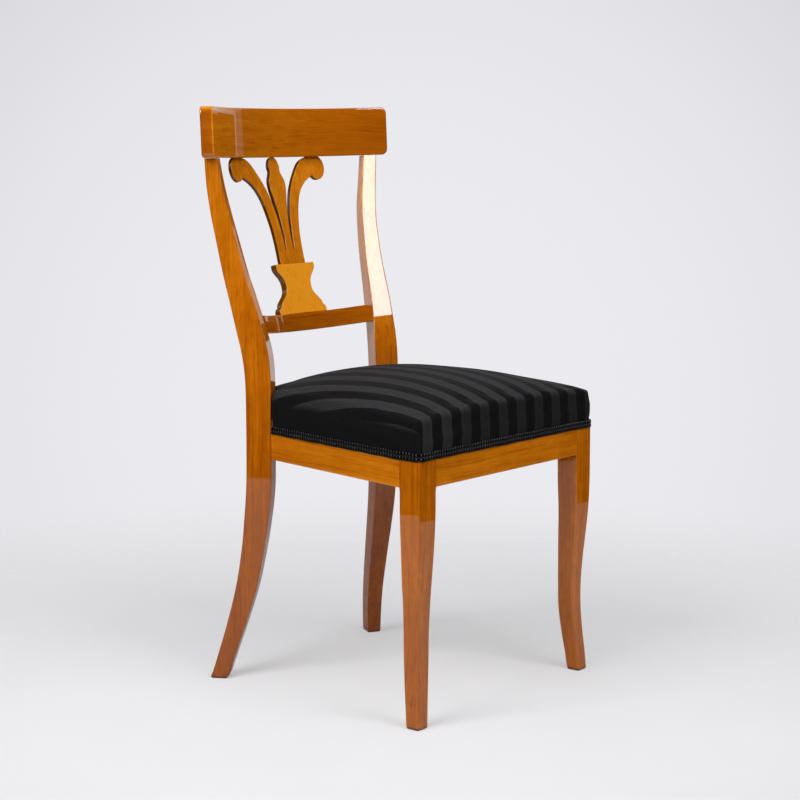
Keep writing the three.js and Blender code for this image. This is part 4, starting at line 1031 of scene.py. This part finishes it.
def cushion_block():
    """Closed stuffed form: bulging walls, a rolled edge and a crowned top."""
    def ring(extra, height):
        plan = seat_outline(PLAN_INSET + extra, NOTCH_PLAY + max(0.0, extra), COVER_STEP)
        points = np.array([(x, y, height(x, y)) for x, y in plan])
        closed = np.vstack([points, points[:1]])
        known = distances_along(closed[:, :2])
        return values_at(np.linspace(0, known[-1], RING_COUNT + 1)[:-1], known, closed)

    rings = []
    for z in np.arange(COVER_FOOT, SEAT_CORNER_TOP - COVER_LOW - SHOULDER - 4, WALL_STEP):
        rings.append(ring(wall_draw(z), lambda x, y: z))
    for k in range(7):
        angle = k / 6 * math.pi / 2
        extra = SHOULDER * (1 - math.cos(angle))
        dip = COVER_LOW - EDGE_LIFT + SHOULDER * (1 - math.sin(angle))
        rings.append(ring(extra + wall_draw(SEAT_CORNER_TOP - SHOULDER),
                          lambda x, y: crown_at(x, y) - dip))
    rim = rings[-1]
    for share in np.linspace(0.95, 0.05, 19):
        x = rim[:, 0] * share
        y = SEAT_MIDDLE_Y + (rim[:, 1] - SEAT_MIDDLE_Y) * share
        rings.append(np.stack([x, y, crown_at(x, y) - COVER_LOW + EDGE_LIFT * share**4], 1))
    return loft(rings)


def near_stile(points):
    """Distance in the plan from each point to the nearer stile, in millimetres."""
    plan = np.stack([np.abs(points[:, 0]), points[:, 1]], 1)
    return np.maximum((STILE_FRONT - plan) @ BACKWARD, (plan - STILE_INNER) @ INWARD)


def soft_part(points):
    """1 where the cushion gives, and less along its rolled edge and at its front corners."""
    x, y, z = np.abs(points[:, 0]), points[:, 1], points[:, 2]
    width = seat_width(y)
    wall = np.minimum(np.minimum(y, REAR_BACK - y), width - x)
    below = crown_at(np.minimum(x, width), np.clip(y, 0, REAR_BACK)) - z
    rim = np.hypot(np.maximum(wall, 0), np.maximum(below, 0))
    corner = np.hypot(FRONT_WIDTH / 2 - x, y)
    soft = EDGE_SOFTNESS + (1 - EDGE_SOFTNESS) * smoothstep(6, 34, rim)
    return soft * smoothstep(8, 40, corner)


def swollen(piece):
    """The cushion blown up a little as cloth, with its walls held at the foot."""
    rest = to_mm(piece.data)
    held = np.maximum(1 - smoothstep(CLOTH_PINNED, CLOTH_PINNED + PIN_FADE, rest[:, 2]),
                      1 - smoothstep(1.5, PIN_FADE, near_stile(rest)))
    group = piece.vertex_groups.new(name="held")
    for i, weight in enumerate(held):
        if weight > 0.001:
            group.add([i], float(weight), "REPLACE")
    cloth = piece.modifiers.new("cloth", "CLOTH")
    settings = cloth.settings
    settings.vertex_group_mass = "held"
    settings.use_pressure = True
    settings.uniform_pressure_force = 4.0
    settings.quality = 6
    settings.mass = 0.3
    settings.tension_stiffness = 22
    settings.compression_stiffness = 12
    settings.bending_stiffness = 1.5
    settings.effector_weights.gravity = 0
    cloth.collision_settings.use_collision = False
    cloth.collision_settings.use_self_collision = False
    cloth.point_cache.frame_start, cloth.point_cache.frame_end = 1, CLOTH_FRAMES
    for number in range(1, CLOTH_FRAMES + 1):
        SCENE.frame_set(number)
    moved = to_mm(evaluated_mesh(piece))
    piece.modifiers.remove(cloth)
    SCENE.frame_set(1)
    step = (moved - rest) * soft_part(rest)[:, None]
    length = np.linalg.norm(step, axis=1)[:, None]
    return rest + step * CLOTH_CAP * np.tanh(length / CLOTH_CAP) / np.maximum(length, 1e-6)


STRIPE_BOW, STRIPE_BOW_LENGTH = 0.065, 330
SCALLOP, PULL_LINES, RIPPLE = 1.1, 0.9, 0.45


def cloth_marks(points):
    """Where the cloth lies, in metres across and along the stripes, and 1 on its sides, where dark
    satin stands in for shade.
    """
    x, y, z = points.T
    width = seat_width(y)
    over = smoothstep(-12, -2, np.abs(x) - width) * smoothstep(0.8, 3, y)
    drop = np.maximum(0, crown_at(np.clip(x, -width, width), y) - z)
    bow = 1 + STRIPE_BOW * np.sin(math.pi * np.clip(y / STRIPE_BOW_LENGTH, 0, 1))
    u = (x + np.sign(x) * over * drop) * bow
    v = y - (1 - smoothstep(0, 12, y)) * drop
    return {"cloth_u": u * MM, "cloth_v": v * MM, "side_wall_shade": over * smoothstep(9, 21, drop)}


def tension_marks(points, normals):
    """Small moves along the normals: scallops over the front edge, and pull lines."""
    x, y, z = points.T
    near_top = smoothstep(24, 8, crown_at(x, np.clip(y, 0, REAR_BACK)) - z)
    phase = (x * MM + STRIPE_PHASE) * 2 * math.pi / STRIPE_PITCH
    move = SCALLOP * (smoothstep(34, 4, y) * near_top) * np.cos(phase)
    side = smoothstep(26, 4, seat_width(y) - np.abs(x)) * near_top * smoothstep(0, 40, y)
    for i, (a, b, c) in enumerate(points):
        if side[i] > 0.01:
            pull = noise.noise(Vector((a * 0.01, b * 0.028, c * 0.012)))
            move[i] += PULL_LINES * side[i] * pull
        move[i] += RIPPLE * noise.noise(Vector((a * 0.016, b * 0.012, c * 0.016 + 7)))
    loose = smoothstep(HEM + 9, HEM + 16, z)
    return points + normals * (move * loose)[:, None]


def build_stuffing(cover, points, normals):
    """Stuffing just under the cover, flat where it lies on the hessian."""
    mesh = cover.copy()
    from_mm(mesh, points - normals * HAIR_DEPTH)
    bm = bmesh.new()
    bm.from_mesh(mesh)
    rim = [e for e in cut_off_below(bm, HAIR_FOOT) if isinstance(e, bmesh.types.BMEdge)]
    bmesh.ops.triangle_fill(bm, edges=rim, use_beauty=True)
    bmesh.ops.recalc_face_normals(bm, faces=bm.faces)
    bm.to_mesh(mesh)
    bm.free()
    mesh.materials.clear()
    piece = add_mesh("hair_stuffing", mesh, horsehair(), ["seat_padding"], sharp=60)


def build_cover():
    """The striped cover: the stuffed form as cloth, cut off at the hem and given a thickness."""
    cloth = striped_cloth()
    piece = add_piece("striped_cover", *cushion_block(), cloth, "striped_fabric", ["seat_cover"])
    piece.data = applied(piece, "REMESH", mode="VOXEL", voxel_size=COVER_VOXEL * MM)
    from_mm(piece.data, swollen(piece))
    piece.vertex_groups.clear()

    fine = applied(piece, "SUBSURF", levels=1, render_levels=1)
    normals = np.zeros(len(fine.vertices) * 3)
    fine.vertices.foreach_get("normal", normals)
    normals = normals.reshape(-1, 3)
    points = tension_marks(to_mm(fine), normals)
    from_mm(fine, points)
    build_stuffing(fine, points, normals)

    bm = bmesh.new()
    bm.from_mesh(fine)
    cut_off_below(bm, HEM)
    folded = []
    for face in bm.faces:
        middle = in_mm(face.calc_center_median())
        if middle[2] < FRAME_TOP + 1 and near_stile(middle[None])[0] < FOLD_REACH:
            inside = abs(middle[0]) < seat_corners(0, 0)["side"][0] - FOLD_PLAY
            if inside and middle[1] < REAR_BACK - FOLD_PLAY:
                folded.append(face)
    bmesh.ops.delete(bm, geom=folded, context="FACES")
    bm.to_mesh(fine)
    bm.free()
    piece.data = fine
    piece.data = fine = applied(piece, "SOLIDIFY", thickness=COVER_THICKNESS * MM, offset=-1,
                                use_even_offset=True)
    fine.materials.clear()
    fine.materials.append(cloth)
    for name, values in cloth_marks(to_mm(fine)).items():
        set_values(fine, name, values)
    shade_smooth(fine, 60)


# ---- Braid

BRAID_OVERLAP, BRAID_RISE, BRAID_THICKNESS = 1.8, 0.8, 1.0
LOOP_ROWS = (1.3, 7.6)
LOOP_PITCH, LOOP_RADIUS, LOOP_STEPS = 6.0, 2.5, 11
LOOP_SWAY = 0.42
LOOP_OUT, LOOP_LIFT = 1.7, 0.35
CORD_RADIUS, CORD_SIDES = 0.8, 5
CORE_RADIUS, CORE_SIDES = 0.42, 6
CORE_OUT, CORE_RISE = 1.5, 4.4
CORNER_SAG, SAG_REACH, WAVER = 0.6, 24, 0.25


def braid_line(outset, step):
    """Line round the front and sides, from the left stile to the right one."""
    c = seat_corners(-outset, STILE_CLEARANCE)
    half = [*corner_arc(c["front"], 9), c["knee"], c["side"]]
    return resampled([p * (-1, 1) for p in half[::-1]] + half, step)


def droop(spots):
    """How much the braid rises or, round the front corners, sags."""
    away = np.hypot(FRONT_WIDTH / 2 - np.abs(spots[:, 0]), spots[:, 1])
    waver = WAVER * np.sin(spots[:, 0] * 0.09 + spots[:, 1] * 0.11)
    return -CORNER_SAG * np.exp(-((away / SAG_REACH) ** 2)) + waver


def band(line, outward, low, high, thickness):
    section = oblong(0, thickness, low, high, thickness * 0.45, 3, 0.2)
    return loft([[(*(p + out * n), z + down) for out, z in section]
                 for p, n, down in zip(line, outward, droop(line))])


def tube(centre, radius, sides):
    along = directions(centre)
    side = np.cross(along, (0.3, 0.2, 0.93))
    side /= np.linalg.norm(side, axis=1)[:, None]
    other = np.cross(along, side)
    rings = []
    for k in range(sides):
        angle = 2 * math.pi * k / sides
        rings.append(centre + radius * (math.cos(angle) * side + math.sin(angle) * other))
    return loft(np.stack(rings, 1))


def cord_along(line, outward, centre_z):
    """A thin cord that lies in a row of loops, and where along its length a highlight is painted.
    """
    known = distances_along(line)
    loops = int(known[-1] / LOOP_PITCH)
    t = np.linspace(0, loops, loops * LOOP_STEPS + 1)
    turn = 2 * math.pi * t
    s = (t + 0.5) * known[-1] / (loops + 1) - LOOP_SWAY * LOOP_RADIUS * np.sin(turn)
    s = np.clip(s, CORD_RADIUS, known[-1] - CORD_RADIUS)
    spot = values_at(s, known, line)
    lift = LOOP_OUT + LOOP_LIFT * np.sin(turn + 0.8)
    centre = np.column_stack([spot + values_at(s, known, outward) * lift[:, None],
                              centre_z + droop(spot) + LOOP_RADIUS * np.cos(turn)])
    # Painted highlight on one side of each loop.
    painted_glint = np.repeat(smoothstep(0.1, 0.9, np.cos(turn)), CORD_SIDES)
    return *tube(centre, CORD_RADIUS, CORD_SIDES), painted_glint


def build_braid():
    backing = braid_cord("braid_backing", 0.002, 0.02)
    cord = braid_cord("braid_loops", 0.13, 0.22)
    rear = seat_corners(0, STILE_CLEARANCE)["rear"][0] - STILE_CLEARANCE
    rear_line = resampled([(rear, REAR_BACK + JOINT_GAP), (-rear, REAR_BACK + JOINT_GAP)], 6)
    for name, line, node in (("braid_round", braid_line(JOINT_GAP, 4.0), "braid_front_and_sides"),
                             ("braid_back", rear_line, "braid_rear")):
        along = directions(line)
        outward = np.stack([along[:, 1], -along[:, 0]], 1)
        strip = band(line, outward, HEM - BRAID_OVERLAP, HEM + BRAID_HEIGHT + BRAID_RISE,
                     BRAID_THICKNESS)
        add_piece(name, *strip, backing, "braid", [node])
        points, faces, painted_glint = [], [], []
        for rise in LOOP_ROWS:
            row_points, row_faces, row_glint = cord_along(line, outward, HEM + rise)
            start = sum(map(len, points))
            points.append(row_points)
            faces += [tuple(start + i for i in face) for face in row_faces]
            painted_glint.append(row_glint)
        loops = add_piece(f"{name}_loops", np.vstack(points), faces, cord, "braid")
        set_values(loops.data, "painted_glint", np.concatenate(painted_glint))
        middle = np.column_stack([line + outward * CORE_OUT, HEM + CORE_RISE + droop(line)])
        add_piece(f"{name}_core", *tube(middle[1:-1], CORE_RADIUS, CORE_SIDES), cord, "braid")


# ---- Webbing and hessian

STRAP_FOOT, STRAP_PLAY, STRAP_STATIONS = 0.15, 0.35, 26
STRAP_WAVER, STRAP_LIFT = 0.5, 0.12
HESSIAN_INSET = 8.0


def build_webbing():
    """Straps that waver a little. across is 0 in the middle of a strap and 1 at its edges."""
    material = jute("jute_webbing", 0.0028, striped=True)
    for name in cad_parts:
        if not name.startswith("webbing"):
            continue
        low, high = map(in_mm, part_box(name))
        lengthwise = "lengthwise" in name
        run, wide = (1, 0) if lengthwise else (0, 1)
        width = high[wide] - low[wide]
        section = oblong(0, width, STRAP_FOOT, high[2] - low[2] - STRAP_PLAY, 0.7, 3, 0.5)
        rings, across = [], []
        for k, place in enumerate(np.linspace(low[run], high[run], STRAP_STATIONS)):
            ring = []
            for a, b in section:
                inset = STRAP_WAVER * math.sin(k * 1.7 + (a > width / 2))
                side = low[wide] + (a + inset * (1 if a < width / 2 else -1) * 0.5)
                height = low[2] + b + STRAP_LIFT * math.sin(k * 0.9)
                ring.append((side, place, height) if lengthwise else (place, side, height))
                across.append(abs(2 * a / width - 1))
            rings.append(ring)
        points, faces = loft(rings)
        strap = add_piece(f"{name}_strap", points, turned(faces) if lengthwise else faces,
                          material, "jute", [name])
        set_values(strap.data, "across", across)


def build_hessian():
    low, high = map(in_mm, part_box("hessian_sheet"))
    plan = seat_outline(HESSIAN_INSET, HESSIAN_INSET, 7.0)
    rings = [[(x, y, low[2] + lift * (high[2] - low[2])) for x, y in grown(plan, -inset)]
             for inset, lift in ((0.3, 0.12), (0, 0.3), (0, 0.7), (0.3, 0.88))]
    sheet = add_piece("hessian_cloth", *loft(rings), jute("hessian", 0.0036),
                      "jute", ["hessian_sheet"])


# ---- Studio

FLOOR_RADII, FLOOR_SIDES = (0.6, 2.0, 5.0, 12.0), 96
PAPER_COLOR = rgb(0.62, 0.62, 0.64)
PAPER_CORNERS = ((-1.48, -1.4), (1.42, -1.4), (1.42, 2.6), (-1.48, 2.6))
CAMERA_PLACE = (-2.4014, -1.9792, 0.8712)
CAMERA_PITCH, CAMERA_TURN = math.radians(82.121), math.radians(-50.996)
# Square lamps that the lacquer doesn't mirror: place, side and radiance
LAMPS = {
    "key_left": ((-2.1, 0.15, 2.05), 1.35, 8.9),
    "key_right": ((-0.2, -2.1, 2.05), 1.15, 7.6),
    "key_top": ((-1.0, -0.8, 3.3), 1.8, 2.6),
}
LAMP_TARGET = (0, 0, 0.5)
# Upright panels that only the lacquer mirrors: azimuths of the sides in degrees from +X,
# heights of the foot and the top, distance of the sides from the middle, and radiance
PANELS = {
    "left_box": ((168, 192), (1.35, 3.4), 3.0, 20),
    "front_box": ((-105, -83), (1.06, 2.4), 0.95, 18.5),
    "backdrop": ((-7.9, 60), (-0.5, 3.4), 6.0, 0.95),
    "backdrop_left": ((60, 95), (-0.5, 3.4), 6.0, 0.95),
    "backdrop_far_left": ((95, 130), (0.6, 3.4), 6.0, 0.95),
    "backdrop_end": ((-14, -7.9), (1.22, 3.4), 6.0, 1.9),
    "backdrop_foot": ((-15.3, -8.6), (0.9, 1.56), 12.0, 0.36),
}


def add_stage(name, points, faces, material):
    mesh = bpy.data.meshes.new(name)
    mesh.from_pydata(points, [], faces)
    piece = linked(name, mesh)
    mesh.materials.append(material)
    return piece


def build_floor():
    """Pale lit floor that fades into the backdrop, and the part that the lacquer mirrors."""
    turns = np.linspace(0, 2 * math.pi, FLOOR_SIDES + 1)[:-1]
    points, faces = loft([[(r * math.cos(a), r * math.sin(a), 0) for a in turns]
                          for r in FLOOR_RADII], closed_ends=False)
    faces.append(tuple(range(FLOOR_SIDES))[::-1])
    s = Shader("studio_floor")
    grain = s.ramp(s.noise(s.place, 3.0), [(0.3, (0.42, 0.42, 0.43)), (0.7, (0.44, 0.44, 0.45))])
    paper = s.add("ShaderNodeBsdfPrincipled", {
        "Base Color": grain, "Roughness": 0.6, "Specular IOR Level": 0.1,
        "Emission Color": rgb(0.98, 0.98, 1.0), "Emission Strength": 0.35,
    })
    reach = s.add("ShaderNodeVectorMath", {0: s.place}, operation="LENGTH").outputs["Value"]
    clear = s.add("ShaderNodeBsdfTransparent")
    faded = s.shown(s.mix_shader(s.spread(reach, 0.35, 1.6, 0, 1, True), paper, clear))
    add_stage("floor", [tuple(p) for p in points], turned(faces), faded).visible_glossy = False

    right = np.array([math.cos(CAMERA_TURN), math.sin(CAMERA_TURN)])
    ahead = np.array([-right[1], right[0]])
    corners = [(*(a * right + b * ahead), 0.0002) for a, b in PAPER_CORNERS]
    mirrored = Shader("mirrored_paper").finish({
        "Base Color": PAPER_COLOR, "Roughness": 0.9, "Specular IOR Level": 0.0})
    strip = add_stage("mirrored_floor", corners, [(0, 1, 2, 3)], mirrored)
    strip.visible_camera = strip.visible_diffuse = strip.visible_shadow = False


def build_world():
    """The backdrop that the camera sees, and the even light that the surfaces get from it."""
    s = Shader("studio", bpy.data.worlds)
    middle = Vector((math.sin(-CAMERA_TURN), math.cos(-CAMERA_TURN), -0.14)).normalized()
    toward = s.add("ShaderNodeVectorMath", {0: s.coordinates["Generated"], 1: middle},
                   operation="DOT_PRODUCT").outputs["Value"]
    wall = s.ramp(s.spread(toward, 0.93, 1.0, smooth=True),
                  [(0.0, (0.62, 0.61, 0.645)), (1.0, (0.83, 0.83, 0.86))])
    room = s.add("ShaderNodeBackground", {"Color": rgb(1.0, 1.0, 1.0), "Strength": 0.22})
    view = s.add("ShaderNodeBackground", {"Color": wall, "Strength": 1.0})
    seen = s.add("ShaderNodeLightPath").outputs["Is Camera Ray"]
    SCENE.world = s.shown(s.mix_shader(seen, room, view), "World")
    SCENE.world.cycles_visibility.glossy = False


def build_light(name, place, target, size, radiance):
    """A panel of the given radiance, so that its power follows its size."""
    data = bpy.data.lights.new(name, "AREA")
    data.shape = "RECTANGLE"
    data.size, data.size_y = size
    data.energy = radiance * math.pi * size[0] * size[1]
    lamp = linked(name, data)
    lamp.location = place
    lamp.rotation_euler = (Vector(target) - Vector(place)).to_track_quat("-Z", "Y").to_euler()
    lamp.visible_camera = False
    return lamp


def build_studio():
    build_floor()
    build_world()
    for name, (place, side, radiance) in LAMPS.items():
        build_light(name, place, LAMP_TARGET, (side, side), radiance).visible_glossy = False
    build_light("overhead", (1.2, 1.0, 3.2), (1.2, 1.0, 0), (2.0, 2.0), 2.8).visible_diffuse = False
    for name, (turns, heights, reach, radiance) in PANELS.items():
        a, b = (np.array([math.cos(t), math.sin(t)]) * reach for t in np.radians(turns))
        place = (*((a + b) / 2), sum(heights) / 2)
        size = (float(np.linalg.norm(b - a)), heights[1] - heights[0])
        build_light(name, place, (0, 0, place[2]), size, radiance).visible_diffuse = False
    camera = linked("camera", bpy.data.cameras.new("camera"))
    camera.location = CAMERA_PLACE
    camera.rotation_euler = (CAMERA_PITCH, 0, CAMERA_TURN)
    camera.data.sensor_width = 36
    camera.data.lens = 89.47
    camera.data.clip_end = 60
    bpy.context.scene.camera = camera
    SCENE.view_settings.view_transform = "Standard"


build_legs()
build_rails()
build_crest()
build_cross_rail()
build_splat()
build_blocks()
build_cover()
build_braid()
build_webbing()
build_hessian()
build_studio()
